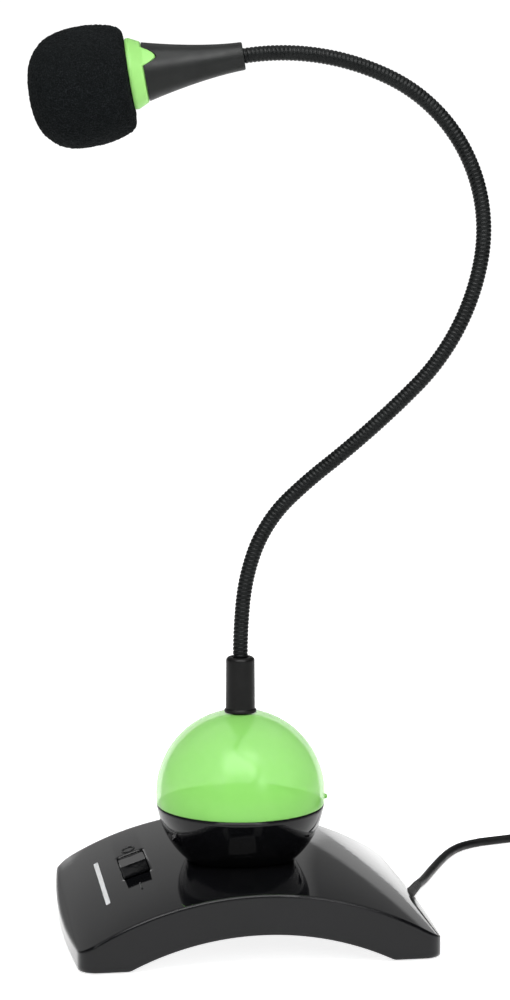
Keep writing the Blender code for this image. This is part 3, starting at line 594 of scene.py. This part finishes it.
def catmull(points, per_span=12):
    """A smooth curve through the points."""
    knots = [Vector(point) for point in points]
    knots = [2 * knots[0] - knots[1], *knots, 2 * knots[-1] - knots[-2]]
    dense = []
    for a, b, c, d in zip(knots, knots[1:], knots[2:], knots[3:]):
        for step in range(per_span):
            t = step / per_span
            dense.append(0.5 * (2 * b + (c - a) * t + (2 * a - 5 * b + 4 * c - d) * t * t
                                + (3 * b - a - 3 * c + d) * t ** 3))
    dense.append(knots[-2])
    return dense


def evenly(points, spacing):
    """The same line as points about this far apart."""
    lengths = [0.0]
    for first, second in zip(points, points[1:]):
        lengths.append(lengths[-1] + (second - first).length)
    count = max(2, round(lengths[-1] / spacing))
    route, index = [], 0
    for step in range(count + 1):
        target = lengths[-1] * step / count
        while index < len(lengths) - 2 and lengths[index + 1] < target:
            index += 1
        share = (target - lengths[index]) / (lengths[index + 1] - lengths[index])
        route.append(points[index].lerp(points[index + 1], share))
    return route


def tube(name, points, radius, look, resolution):
    """A round tube along the points."""
    curve = bpy.data.curves.new(name, "CURVE")
    curve.dimensions = "3D"
    curve.bevel_depth = radius
    curve.bevel_resolution = resolution
    curve.use_fill_caps = True
    spline = curve.splines.new("POLY")
    spline.points.add(len(points) - 1)
    for point, place in zip(spline.points, points):
        point.co = (*place, 1.0)
    spline.use_smooth = True
    return add_object(name, curve, look)


# ---------------------------------------------------------------- cord

def coil_point(turns):
    """The cord's centre after this many turns: in and out through the columns, up one layer at a time.

    The cord moves over to the next column in the last part of each turn.
    """
    whole = int(turns)
    ease = max(0.0, (turns - whole - 1.0 + COIL_CHANGE) / COIL_CHANGE)
    ease = ease * ease * (3 - 2 * ease)

    def cell(number):
        layer, column = divmod(number, len(COIL_COLUMNS))
        if layer % 2:
            column = len(COIL_COLUMNS) - 1 - column
        return COIL_COLUMNS[column], CORD_RADIUS + 0.1 * MM + layer * COIL_LAYER

    here, after = cell(whole), cell(whole + 1)
    radius = here[0] + (after[0] - here[0]) * ease
    height = here[1] + (after[1] - here[1]) * ease
    angle = COIL_START - math.radians(30) - 2 * math.pi * turns
    return stand(COIL_CENTRE.x + radius * math.cos(angle), COIL_CENTRE.y + radius * math.sin(angle), height)


def exit_direction():
    """The way the cord leaves the base."""
    return Vector((math.cos(CORD_EXIT_ANGLE), math.sin(CORD_EXIT_ANGLE), 0.0))


def cord_points():
    """The whole route: out of the base and across the floor, round the coil, then down to the plug."""
    first = evenly(catmull([stand(*(Vector(place) * MM)) for place in CORD_ROUTE]), ROUTE_STEP)
    turns = COIL_TURNS - 1 / 12
    count = round(turns * 24)
    coil = [coil_point(turns * step / count) for step in range(count + 1)]
    tail = [stand(*(Vector(place) * MM)) for place in TAIL_ROUTE]
    join_in = catmull([first[-3], first[-1], coil[0], coil[2]], 6)[6:13]
    join_out = catmull([coil[-4], coil[-3], tail[0], tail[1]], 6)[6:13]
    last = evenly(catmull(tail), ROUTE_STEP)
    return first[:-1] + join_in[:-1] + coil[:-3] + join_out[:-1] + last


def make_cord():
    points = cord_points()
    item = tube("signal_cable", points, CORD_RADIUS, "cord", 4)
    place_piece(item, "stand", "cord", "cable", "cable_coil", "cable_tail")
    return item, points


def relief_mesh(name, length, start_radius, end_radius, ribs):
    """A tapered sleeve with grooves round it, along local Z."""
    profile = [(0.0, -6.0 * MM), (start_radius, -6.0 * MM)]
    steps = ribs * 6
    for step in range(steps + 1):
        share = step / steps
        wave = max(0.0, math.cos(2 * math.pi * ribs * share)) ** 2
        radius = start_radius + (end_radius - start_radius) * share - 0.28 * MM * wave * (0.15 < share < 0.92)
        profile.append((radius, length * share))
    profile.append((0.0, length))
    return turned_mesh(name, profile, 48)


def make_strain_relief():
    mesh = relief_mesh("strain_relief_sleeve", RELIEF_LENGTH, RELIEF_RADIUS, CORD_RADIUS, 5)
    turn = exit_direction().to_track_quat("Z", "Y").to_matrix().to_4x4()
    mesh.transform(Matrix.Translation(stand(*CORD_EXIT)) @ turn)
    return place_piece(add_object("strain_relief_sleeve", mesh, "rubber"), "stand", "rubber", "strain_relief")


def make_plug():
    """The jack plug: bend relief, grooved grip, sleeve, insulating ring and tip."""
    along = Vector((math.cos(PLUG_ANGLE), math.sin(PLUG_ANGLE), 0.0))
    matrix = Matrix.Translation(stand(*PLUG_PLACE)) @ along.to_track_quat("Z", "Y").to_matrix().to_4x4()
    grip = [(0.0, 8.0), (3.4, 8.0), (4.1, 9.4)]
    for groove in range(5):
        low = 10.6 + 2.1 * groove
        grip += [(4.1, low), (3.75, low + 0.35), (3.75, low + 0.85), (4.1, low + 1.2)]
    grip += [(4.1, 22.6), (3.0, 24.0), (0.0, 24.0)]
    sleeve = [(0.0, 24.3), (2.6, 24.3), (2.6, 25.2), (1.75, 25.2), (1.75, 33.0), (0.0, 33.0)]
    ring = [(0.0, 33.3), (1.7, 33.3), (1.7, 34.2), (0.0, 34.2)]
    tip = [(0.0, 34.5), (1.75, 34.5), (1.75, 34.9), (1.3, 35.4), (1.75, 36.4), (0.7, 38.2), (0.0, 38.5)]
    relief = [(0.0, 0.0), (2.25, 0.0), (2.4, 1.6), (2.1, 1.9), (2.1, 2.4), (2.55, 2.7),
              (2.6, 3.9), (2.3, 4.2), (2.3, 4.8), (2.75, 5.1), (2.85, 7.7), (0.0, 7.7)]
    pieces = (("plug_relief", relief, "rubber"), ("plug_grip", grip, "matte_black"),
              ("plug_sleeve", sleeve, "brass"), ("plug_insulator", ring, "matte_black"),
              ("plug_tip", tip, "brass"))
    made = []
    for name, profile, look in pieces:
        points = rounded_profile([(radius * MM, height * MM) for radius, height in profile], 0.15 * MM, 3)
        mesh = turned_mesh(f"{name}_fine", points, 48)
        mesh.transform(matrix)
        item = add_object(f"{name}_fine", mesh, look, 30.0)
        made.append(place_piece(item, "stand", look, name))
    return made


# ---------------------------------------------------------------- base

def arch_height(x, radius):
    """The height, this far from the middle, of an arch of this radius about the base's common centre."""
    return ARCH_CENTRE_Z + math.sqrt(radius ** 2 - x ** 2)


def underside(x):
    """The open arch below the base, down to the flat ends it stands on."""
    return max(BASE_BOTTOM, arch_height(x, UNDER_RADIUS))


def band(lower, upper, half_width, count):
    """The outline between a lower and an upper line."""
    across = [half_width * (2 * step / count - 1) for step in range(count + 1)]
    outline = [(x, lower(x)) for x in across]
    outline += [(x, upper(x)) for x in reversed(across)]
    return outline


def plan_outline(inset):
    """The base seen from above, with bowed ends and rounded corners."""
    half = BASE_DEPTH / 2 - inset
    radius = max(BASE_CORNER - inset, 1.0 * MM)
    corner = [half - radius + radius * math.sin(step * math.pi / 20) for step in range(11)]
    rows = [-y for y in reversed(corner)]
    rows += [(half - radius) * step / 16 for step in range(-15, 16)]
    rows += corner
    right = []
    for y in rows:
        past = max(0.0, abs(y) - (half - radius))
        reach = BASE_WIDTH / 2 - inset + BASE_BULGE * (1 - (2 * y / BASE_DEPTH) ** 2)
        right.append((reach - radius + math.sqrt(max(0.0, radius ** 2 - past ** 2)), y))
    return right + [(-x, y) for x, y in reversed(right)]


def plan_mesh(name, inset):
    """The base's plan as an upright block that cuts the arch to shape."""
    mesh = plate_mesh(name, plan_outline(inset), BASE_WIDTH)
    mesh.transform(Matrix.Translation(BASE_MIDDLE))
    return mesh


def arch_mesh(name, lower, upper, count=120):
    """An arched band a little wider and deeper than the base."""
    outline = band(lower, upper, BASE_WIDTH / 2 + 6.0 * MM, count)
    mesh = plate_mesh(name, outline, BASE_DEPTH + 20.0 * MM)
    mesh.transform(Matrix.Translation(BASE_MIDDLE) @ Matrix.Rotation(math.pi / 2, 4, "X"))
    return mesh


def rounded_rectangle(width, depth, radius, steps=8):
    outline = []
    for quarter, (sx, sy) in enumerate(((1, 1), (-1, 1), (-1, -1), (1, -1))):
        for step in range(steps + 1):
            angle = math.pi / 2 * (quarter + step / steps)
            outline.append((sx * (width / 2 - radius) + radius * math.cos(angle),
                            sy * (depth / 2 - radius) + radius * math.sin(angle)))
    return outline


def switch_matrix():
    """The switch's place on the arch, with local Z square to the surface."""
    slope = math.asin(-SWITCH_X / ARCH_RADIUS)
    place = stand(SWITCH_X, SWITCH_Y, arch_height(SWITCH_X, ARCH_RADIUS))
    return Matrix.Translation(place) @ Matrix.Rotation(-slope, 4, "Y")


def well_mesh():
    mesh = plate_mesh("well", rounded_rectangle(WELL_WIDTH, WELL_LENGTH, 1.6 * MM), 2 * WELL_DEPTH)
    mesh.transform(switch_matrix())
    return mesh


def cavity_mesh():
    """The hollow inside the base, one wall in from the top and the sides."""
    cavity = tool("cavity", arch_mesh("cavity", lambda x: -5.0 * MM,
                                      lambda x: arch_height(x, ARCH_RADIUS - WALL), 60))
    carve(cavity, "INTERSECT", plan_mesh("cavity_plan", WALL))
    mesh = cavity.data
    bpy.data.objects.remove(cavity, do_unlink=True)
    return mesh


def make_base():
    """The arched shell, hollow and open below, with the switch's well and the holes for pillar and cord."""
    block = arch_mesh("base", underside, lambda x: arch_height(x, ARCH_RADIUS))
    shell = add_object("base_shell_fine", block, "gloss_black")
    carve(shell, "INTERSECT", plan_mesh("plan", 0.0))
    round_top_edges(shell, BASE_EDGE)
    along = exit_direction()
    gland = cylinder_mesh("gland", RELIEF_RADIUS + 0.3 * MM, stand(*(CORD_EXIT - along * 14.0 * MM)),
                          stand(*(CORD_EXIT + along * 20.0 * MM)), 48)
    pillar = cylinder_mesh("pillar", PILLAR_HOLE, stand(z=15.0 * MM), stand(z=35.0 * MM), 48)
    carve(shell, "DIFFERENCE", cavity_mesh(), well_mesh(), pillar, gland)
    shell.data.materials.clear()
    shell.data.materials.append(LOOKS["gloss_black"])
    place_piece(shell, "stand", "gloss_black", "base_shell")


def round_top_edges(item, radius):
    """Rounds only the edges where the arched top meets the upright faces.

    The arch's short facets hold the width down; the material's own edge rounding does the rest.
    """
    sheet = bmesh.new()
    sheet.from_mesh(item.data)
    weight = sheet.edges.layers.float.new("bevel_weight_edge")
    top = ARCH_RADIUS - 0.02 * MM
    for edge in sheet.edges:
        if len(edge.link_faces) != 2:
            continue
        bend = edge.calc_face_angle(0.0)
        on_top = all(math.hypot(vert.co.x - AXIS.x, vert.co.z - ARCH_CENTRE_Z) > top for vert in edge.verts)
        if bend > math.radians(40) and on_top:
            edge[weight] = 1.0
    sheet.to_mesh(item.data)
    sheet.free()
    rounding = item.modifiers.new("rounding", "BEVEL")
    rounding.width = radius
    rounding.segments = 6
    rounding.limit_method = "WEIGHT"
    bake_modifiers(item)


def arch_place(x, y, lift):
    """A place on the arched top, lifted along its normal."""
    normal = Vector((x, 0.0, math.sqrt(ARCH_RADIUS ** 2 - x ** 2))) / ARCH_RADIUS
    return stand(x, y, arch_height(x, ARCH_RADIUS)) + normal * lift


def make_markings():
    """Moulded off and on symbols behind and before the switch, and a plain printed stripe by the left end."""
    across, along = OFF_SYMBOL_RADII
    ring = []
    for step in range(49):
        turn = 2 * math.pi * step / 48
        ring.append(arch_place(SWITCH_X + across * math.cos(turn), OFF_SYMBOL_Y + along * math.sin(turn),
                               SYMBOL_LIFT))
    place_piece(tube("off_symbol", ring, 0.4 * MM, "matte_black", 3), "stand", "gloss_black")
    bar = [arch_place(SWITCH_X, (ON_SYMBOL_START - step) * MM, SYMBOL_LIFT)
           for step in range(ON_SYMBOL_LENGTH + 1)]
    place_piece(tube("on_symbol", bar, 0.45 * MM, "matte_black", 3), "stand", "gloss_black")
    rows = []
    for step in range(41):
        y = (STRIPE_START + STRIPE_LENGTH * step / 40) * MM
        rows.append([arch_place(x * MM, y, 0.05 * MM) for x in STRIPE_X])
    place_piece(add_object("side_stripe", grid_mesh("side_stripe", rows, False), "white_print"), "stand")


def make_rocker():
    """A shallow V seen from the side, drawn about the pivot and turned to its resting tilt."""
    half = ROCKER_HALF
    side_view = [(-half, ROCKER_END), (0.0, ROCKER_MIDDLE), (half, ROCKER_END), (half - 0.2 * MM, 1.5 * MM),
                 (6.0 * MM, -1.6 * MM), (-6.0 * MM, -1.6 * MM), (-half + 0.2 * MM, 1.5 * MM)]
    mesh = plate_mesh("rocker_fine", side_view, ROCKER_WIDTH)
    mesh.transform(Matrix.Rotation(math.pi / 2, 4, "Z") @ Matrix.Rotation(math.pi / 2, 4, "X"))
    pivot = switch_matrix() @ Matrix.Translation((0.0, 0.0, -ROCKER_DEPTH))
    mesh.transform(pivot @ Matrix.Rotation(ROCKER_TILT, 4, "X"))
    item = add_object("rocker_fine", mesh, "rocker_black", 5.0)
    place_piece(item, "rocker", "gloss_black", "rocker")


# ---------------------------------------------------------------- ball

def sphere_profile(radius, high, low, count):
    """The stretch of a sphere's outline between two heights, as (radius, height) points."""
    start, end = math.acos(high / radius), math.acos(low / radius)
    angles = [start + (end - start) * step / count for step in range(count + 1)]
    return [(radius * math.sin(angle), radius * math.cos(angle)) for angle in angles]


def make_dome():
    """The hollow green half: outer sphere down to the split, then the inner sphere back up."""
    rim = SPLIT_Z - BALL_CENTRE.z + SPLIT_GAP
    dome = [(DOME_HOLE, BALL_FLAT - BALL_WALL), (DOME_HOLE, BALL_FLAT)]
    dome += sphere_profile(BALL_RADIUS, BALL_FLAT, rim + 0.35 * MM, 60)
    dome += [(BALL_RADIUS - 0.35 * MM, rim)]
    dome += sphere_profile(BALL_INNER, rim, BALL_FLAT - BALL_WALL, 40)
    mesh = turned_mesh("ball_dome_fine", dome, 160, True)
    mesh.transform(Matrix.Translation(BALL_CENTRE))
    place_piece(add_object("ball_dome_fine", mesh, "green_clear"), "stand", "green_clear", "ball_dome")


def make_bowl():
    """The hollow black half, its foot cut to sit on the arch."""
    rim = SPLIT_Z - BALL_CENTRE.z - SPLIT_GAP
    bowl = [(BALL_RADIUS - 0.5 * MM, rim)]
    bowl += sphere_profile(BALL_RADIUS, rim - 0.45 * MM, BOWL_FOOT, 40)
    bowl += [(PILLAR_HOLE, BOWL_FOOT), (PILLAR_HOLE, BOWL_FLOOR)]
    bowl += sphere_profile(BALL_INNER, BOWL_FLOOR, rim, 24)
    mesh = turned_mesh("ball_bowl_fine", bowl, 160, True)
    mesh.transform(Matrix.Translation(BALL_CENTRE))
    item = add_object("ball_bowl_fine", mesh, "gloss_black")
    saddle = cylinder_mesh("saddle", ARCH_RADIUS + SADDLE_GAP, stand(0.0, -60.0 * MM, ARCH_CENTRE_Z),
                           stand(0.0, 60.0 * MM, ARCH_CENTRE_Z), 512)
    carve(item, "DIFFERENCE", saddle)
    place_piece(item, "stand", "gloss_black", "ball_bowl")


def make_latch():
    """A small rounded tab moulded on the dome's rim, at its right."""
    out = Matrix.Rotation(VIEW_YAW, 3, "Z") @ Vector((1.0, 0.0, 0.0))
    profile = [(0.0, 1.5), (0.55, 1.4), (0.95, 1.05), (1.15, 0.5), (1.25, 0.0), (1.25, -0.6), (0.0, -0.6)]
    mesh = turned_mesh("dome_latch", rounded_profile([(r * MM, h * MM) for r, h in profile], 0.2 * MM), 32)
    place = Vector((AXIS.x, AXIS.y, SPLIT_Z + 2.6 * MM)) + out * (BALL_RADIUS - 0.4 * MM)
    mesh.transform(Matrix.Translation(place) @ out.to_track_quat("Z", "Y").to_matrix().to_4x4())
    place_piece(add_object("dome_latch", mesh, "green_solid"), "stand", "green_solid")


def make_collar():
    """The sleeve at the neck's foot: a slightly tapered tube with a lip, and a spigot into the dome."""
    top, foot = COLLAR_HIGH.z, COLLAR_FOOT
    profile = [(NECK_BORE, top - 6.0 * MM), (NECK_BORE, top), (5.1 * MM, top), (6.05 * MM, top - 1.0 * MM),
               (6.2 * MM, foot + 1.7 * MM), (6.45 * MM, foot + 1.3 * MM), (COLLAR_LIP, foot + 1.1 * MM),
               (COLLAR_LIP, foot), (3.1 * MM, foot), (3.1 * MM, COLLAR_LOW.z), (1.6 * MM, COLLAR_LOW.z),
               (1.6 * MM, top - 6.0 * MM)]
    mesh = turned_mesh("neck_collar_fine", rounded_profile(profile, 0.5 * MM), 96, True)
    mesh.transform(Matrix.Translation(stand()))
    place_piece(add_object("neck_collar_fine", mesh, "satin_black"), "stand", "satin_black", "neck_collar")


# ---------------------------------------------------------------- gooseneck

def neck_state(distance):
    """The centreline's place in the neck's own plane, and its lean, this far from the collar's top."""
    place = Vector((0.0, 0.0, COLLAR_HIGH.z))
    lean = 0.0
    if distance <= 0.0:
        return place + Vector((0.0, 0.0, distance)), lean
    left = distance
    for length, turn in NECK_BENDS:
        run = min(left, length * MM)
        radius = length * MM / math.radians(turn)
        after = lean + run / radius
        place += Vector((radius * (math.cos(lean) - math.cos(after)), 0.0,
                         radius * (math.sin(after) - math.sin(lean))))
        lean = after
        left -= run
        if left <= 0.0:
            break
    place += Vector((math.sin(lean), 0.0, math.cos(lean))) * max(0.0, left)
    return place, lean


def neck_matrix(distance):
    """The frame of the neck's cross-section: local Z along the neck."""
    place, lean = neck_state(distance)
    yaw = Matrix.Rotation(VIEW_YAW, 4, "Z")
    return Matrix.Translation(stand()) @ yaw @ Matrix.Translation(place) @ Matrix.Rotation(lean, 4, "Y")


def neck_rows(start, end):
    """Cross-sections of the wound jacket: rounded ridges that climb round the tube as a helix."""
    count = round((end - start) / RIB_PITCH * RIB_STEPS)
    rows = []
    for step in range(count + 1):
        distance = start + (end - start) * step / count
        matrix = neck_matrix(distance)
        row = []
        for side in range(RIB_SIDES):
            phase = (distance / RIB_PITCH - side / RIB_SIDES) % 1.0
            ridge = math.sqrt(max(0.0, 1.0 - (2 * phase - 1) ** 2))
            radius = NECK_RADIUS - RIB_DEPTH * (1 - ridge)
            angle = 2 * math.pi * side / RIB_SIDES
            row.append(matrix @ Vector((radius * math.cos(angle), radius * math.sin(angle), 0.0)))
        rows.append(row)
    return rows


def make_neck():
    """One ribbed length for each bending place; neighbours meet midway between two of them."""
    edges = [-5.5 * MM]
    for first, second in zip(NECK_STATIONS, NECK_STATIONS[1:]):
        edges.append((first + second) / 2)
    edges.append(NECK_LENGTH + 5.0 * MM)
    for number, station in enumerate(NECK_STATIONS):
        start, end = edges[number], edges[number + 1]
        mesh = outward(grid_mesh(f"neck_jacket_{number + 1}", neck_rows(start, end)))
        item = add_object(f"neck_jacket_{number + 1}", mesh, "neck_jacket", 80.0)
        nodes = [f"neck_segment_{number}"]
        if number == len(NECK_STATIONS) - 1:
            nodes.append(f"neck_segment_{number + 1}")
        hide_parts(*nodes)
        near = max(start, station - BEND_REACH)
        far = min(end, station + BEND_REACH)
        neck_matrix(near).translation
        neck_matrix(far).translation
        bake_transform(item)


# ---------------------------------------------------------------- head

def cone_radius(height):
    """The cone's flare: slow at the neck, quick towards the ring."""
    return CONE_NARROW + (CONE_WIDE - CONE_NARROW) * (max(0.0, height) / CONE_LENGTH) ** 1.6


def from_tongue(angle):
    """The angle to the nearer tongue's middle."""
    return min(abs((angle - centre + math.pi) % (2 * math.pi) - math.pi) for centre in TONGUE_ANGLES)


def tongue(angle):
    """How far the ring's tongue reaches into the cone at this angle round the axis, from 0 to 1."""
    away = from_tongue(angle) / TONGUE_HALF_ANGLE
    return math.cos(math.pi / 2 * away) ** 0.8 if away < 1.0 else 0.0


def trough(angle, height):
    """A soft hollow that runs back along the cone from the tongue's tip."""
    away = from_tongue(angle) / math.radians(40)
    return TROUGH_DEPTH * math.exp(-4.0 * away * away) * (max(0.0, height) / CONE_LENGTH) ** 1.5


def cone_side(angle):
    """One side of the cone: bore, narrow end, flare, and a rim that makes way for the tongue."""
    rim = CONE_LENGTH - TONGUE_LENGTH * tongue(angle)
    side = [(NECK_BORE, 4.0 * MM), (NECK_BORE, 0.0), (CONE_NARROW - 0.6 * MM, 0.0),
            (CONE_NARROW - 0.15 * MM, 0.2 * MM), (CONE_NARROW, 0.7 * MM)]
    for step in range(1, 61):
        height = 0.7 * MM + (rim - 0.9 * MM) * step / 60
        side.append((cone_radius(height) - trough(angle, height), height))
    edge = cone_radius(rim) - trough(angle, rim)
    side += [(edge - 0.12 * MM, rim - 0.03 * MM), (edge - 0.4 * MM, rim), (edge - 1.6 * MM, rim),
             (edge - 1.6 * MM, rim - 3.0 * MM), (NECK_BORE, 10.0 * MM)]
    return side


def ring_side(angle):
    """One side of the ring: the tongue or lower edge on the cone, then the flare out to the rim."""
    low = CONE_LENGTH + 0.3 * MM - TONGUE_LENGTH * tongue(angle)
    edge = cone_radius(low) - trough(angle, low)
    side = [(RING_BORE, CONE_LENGTH - 5.6 * MM), (edge - 1.4 * MM, low), (edge - 0.2 * MM, low),
            (edge + RING_STEP, low + 0.25 * MM)]
    top = RING_TOP - 1.6 * MM
    for step in range(1, 25):
        height = low + 0.25 * MM + (top - low - 0.25 * MM) * step / 24
        flare = min(1.0, max(0.0, (height - CONE_LENGTH) / (top - CONE_LENGTH)))
        on_cone = min(height, CONE_LENGTH)
        body = cone_radius(on_cone) - trough(angle, on_cone) * (1 - flare) + RING_STEP
        side.append((body + (RING_RADIUS - CONE_WIDE - RING_STEP) * flare, height))
    side += [(RING_RADIUS, RING_TOP - 0.5 * MM), (RING_RADIUS - 0.15 * MM, RING_TOP - 0.15 * MM),
             (RING_RADIUS - 0.5 * MM, RING_TOP), (RING_BORE, RING_TOP)]
    return side


def head_mesh(name, surface):
    """A closed form round the head's axis: surface(angle) gives the (radius, height) pairs of one side."""
    angles = [2 * math.pi * k / HEAD_SIDES for k in range(HEAD_SIDES)]
    columns = [surface(angle) for angle in angles]
    rows = []
    for places in zip(*columns):
        rows.append([Vector((radius * math.cos(angle), radius * math.sin(angle), height))
                     for angle, (radius, height) in zip(angles, places)])
    mesh = outward(grid_mesh(name, rows, True, True))
    mesh.transform(neck_matrix(NECK_LENGTH))
    return mesh


def make_head():
    cone = add_object("head_cone_fine", head_mesh("head_cone_fine", cone_side), "head_black")
    place_piece(cone, "head", "head_black", "head_cone")
    ring = add_object("head_ring_fine", head_mesh("head_ring_fine", ring_side), "green_solid")
    place_piece(ring, "head", "green_solid", "head_ring")


def foam_sag(place):
    """How far the foam hangs down at this place: not at all in its pocket, most at the far end."""
    hang = min(1.0, max(0.0, (math.hypot(place.x, place.y) - FOAM_POCKET) / (6.0 * MM)))
    if place.z > 84.0 * MM:
        hang = 1.0
    return (FOAM_SAG + min(1.0 * MM, max(0.0, place.z - 52.0 * MM) * 0.043)) * hang


def make_foam():
    """The windscreen: a barrel of open-cell foam with a pocket for the grille, lumpy and sagging outside."""
    line = [Vector((radius * MM, height * MM, 0.0)) for radius, height in FOAM_OUTLINE]
    profile = [(point.x, point.y) for point in evenly(catmull(line), 0.55 * MM)]
    profile = [(0.0, profile[0][1])] + profile + [(0.0, FOAM_TOP)]
    mesh = turned_mesh("foam_windscreen_fine", profile, 260)
    for vert in mesh.vertices:
        if math.hypot(vert.co.x, vert.co.y) <= 9.0 * MM and vert.co.z <= 85.0 * MM:
            continue
        direction = Vector((vert.co.x, vert.co.y, (vert.co.z - FOAM_MIDDLE) * 0.8)).normalized()
        drop = foam_sag(vert.co)
        cells = 0.46 * MM * noise.noise(vert.co * 1100.0)
        lumps = 0.35 * MM * noise.noise(vert.co * 60.0)
        vert.co += direction * (cells + lumps)
        vert.co.x -= drop
    mesh.transform(neck_matrix(NECK_LENGTH))
    item = add_object("foam_windscreen_fine", mesh, "foam", 0.0)
    mesh.shade_smooth()
    place_piece(item, "windscreen", "foam", "foam_windscreen")


# ---------------------------------------------------------------- CAD nodes kept as they are

def dress_nodes():
    """Every CAD node that stays visible takes the look of its material slot."""
    slots = {entry["node"]: entry["material_slot"] for entry in frame["record"]["subparts"]}
    for name, item in NODES.items():
        item.data.materials.clear()
        item.data.materials.append(LOOKS[slots[name]])
        item.data.shade_smooth()
        item.data.set_sharp_from_angle(angle=math.radians(35))


# ---------------------------------------------------------------- studio

def make_floor():
    """A pale floor that glows a little, so that it runs into the white behind it."""
    sheet = bmesh.new()
    bmesh.ops.create_grid(sheet, x_segments=2, y_segments=2, size=FLOOR_HALF)
    mesh = bpy.data.meshes.new("floor")
    sheet.to_mesh(mesh)
    sheet.free()
    item = bpy.data.objects.new("floor", mesh)
    bpy.context.scene.collection.objects.link(item)
    look = Look("floor", (0.90, 0.90, 0.90), 0.6, Specular_IOR_Level=0.1,
                Emission_Color=(1.0, 1.0, 1.0, 1.0), Emission_Strength=FLOOR_GLOW)
    look.rough(look.noise(3.0), 0.55, 0.65)
    mesh.materials.append(look.material)


def shade_ramp(tree, source, stops):
    """A grey ramp through (position, brightness) stops."""
    ramp = tree.nodes.new("ShaderNodeValToRGB")
    tree.links.new(source, ramp.inputs["Fac"])
    elements = ramp.color_ramp.elements
    while len(elements) < len(stops):
        elements.new(0.5)
    for element, (position, grey) in zip(elements, stops):
        element.position = position
        element.color = (grey, grey, grey, 1.0)
    return ramp.outputs["Color"]


def make_world():
    """A white sweep behind the object, fading to a dim room overhead, to the right and on the near side."""
    world = bpy.data.worlds.new("studio")
    world.use_nodes = True
    bpy.context.scene.world = world
    tree = world.node_tree
    background = tree.nodes["Background"]
    place = tree.nodes.new("ShaderNodeTexCoord")
    split = tree.nodes.new("ShaderNodeSeparateXYZ")
    tree.links.new(place.outputs["Generated"], split.inputs["Vector"])
    height = shade_ramp(tree, split.outputs["Z"], ((0.080, 1.0), (0.100, 0.36), (0.32, 0.36), (0.7, 0.12)))
    depth = shade_ramp(tree, split.outputs["Y"], ((0.0, 0.07), (0.70, 0.40), (0.93, 1.0)))
    side = shade_ramp(tree, split.outputs["X"], ((0.247, 1.0), (0.268, 0.5)))
    grey = height
    for factor in (depth, side):
        product = tree.nodes.new("ShaderNodeMath")
        product.operation = "MULTIPLY"
        tree.links.new(grey, product.inputs[0])
        tree.links.new(factor, product.inputs[1])
        grey = product.outputs["Value"]
    tree.links.new(grey, background.inputs["Color"])
    background.inputs["Strength"].default_value = WORLD_STRENGTH


def make_light(name, place, target, size, power):
    data = bpy.data.lights.new(name, "AREA")
    data.shape = "RECTANGLE"
    data.size, data.size_y = size
    data.energy = power
    item = bpy.data.objects.new(name, data)
    bpy.context.scene.collection.objects.link(item)
    item.location = place
    item.rotation_euler = (Vector(target) - Vector(place)).to_track_quat("-Z", "Y").to_euler()
    return item


def make_studio():
    """Soft light from above and both sides.  The card is only mirrored, the top light only lights."""
    make_floor()
    make_world()
    aim = BALL_CENTRE + Vector((0.0, 0.0, 0.08))
    make_light("overhead", (0.0, 0.0, 2.2), (0.0, 0.0, 0.0), (4.0, 4.0), 46.0)
    make_light("key", (-0.75, -0.95, 0.62), aim, (0.20, 0.52), 1.7)
    make_light("fill", (0.42, -1.05, 0.60), aim, (0.30, 0.52), 2.9)
    soft = make_light("top", (-0.14, -0.70, 1.05), aim, (0.95, 0.38), 7.6)
    soft.visible_glossy = False
    card = make_light("card", (-0.10, -0.66, 1.02), aim, (0.90, 0.70), 20.0)
    card.visible_diffuse = False
    bpy.context.scene.view_settings.view_transform = "Standard"


# ---------------------------------------------------------------- build

make_camera()
CABLE, CABLE_POINTS = make_cord()
make_strain_relief()
PLUG = make_plug()
make_base()
make_markings()
make_rocker()
make_dome()
make_bowl()
make_latch()
make_collar()
make_neck()
make_head()
make_foam()
dress_nodes()
make_studio()
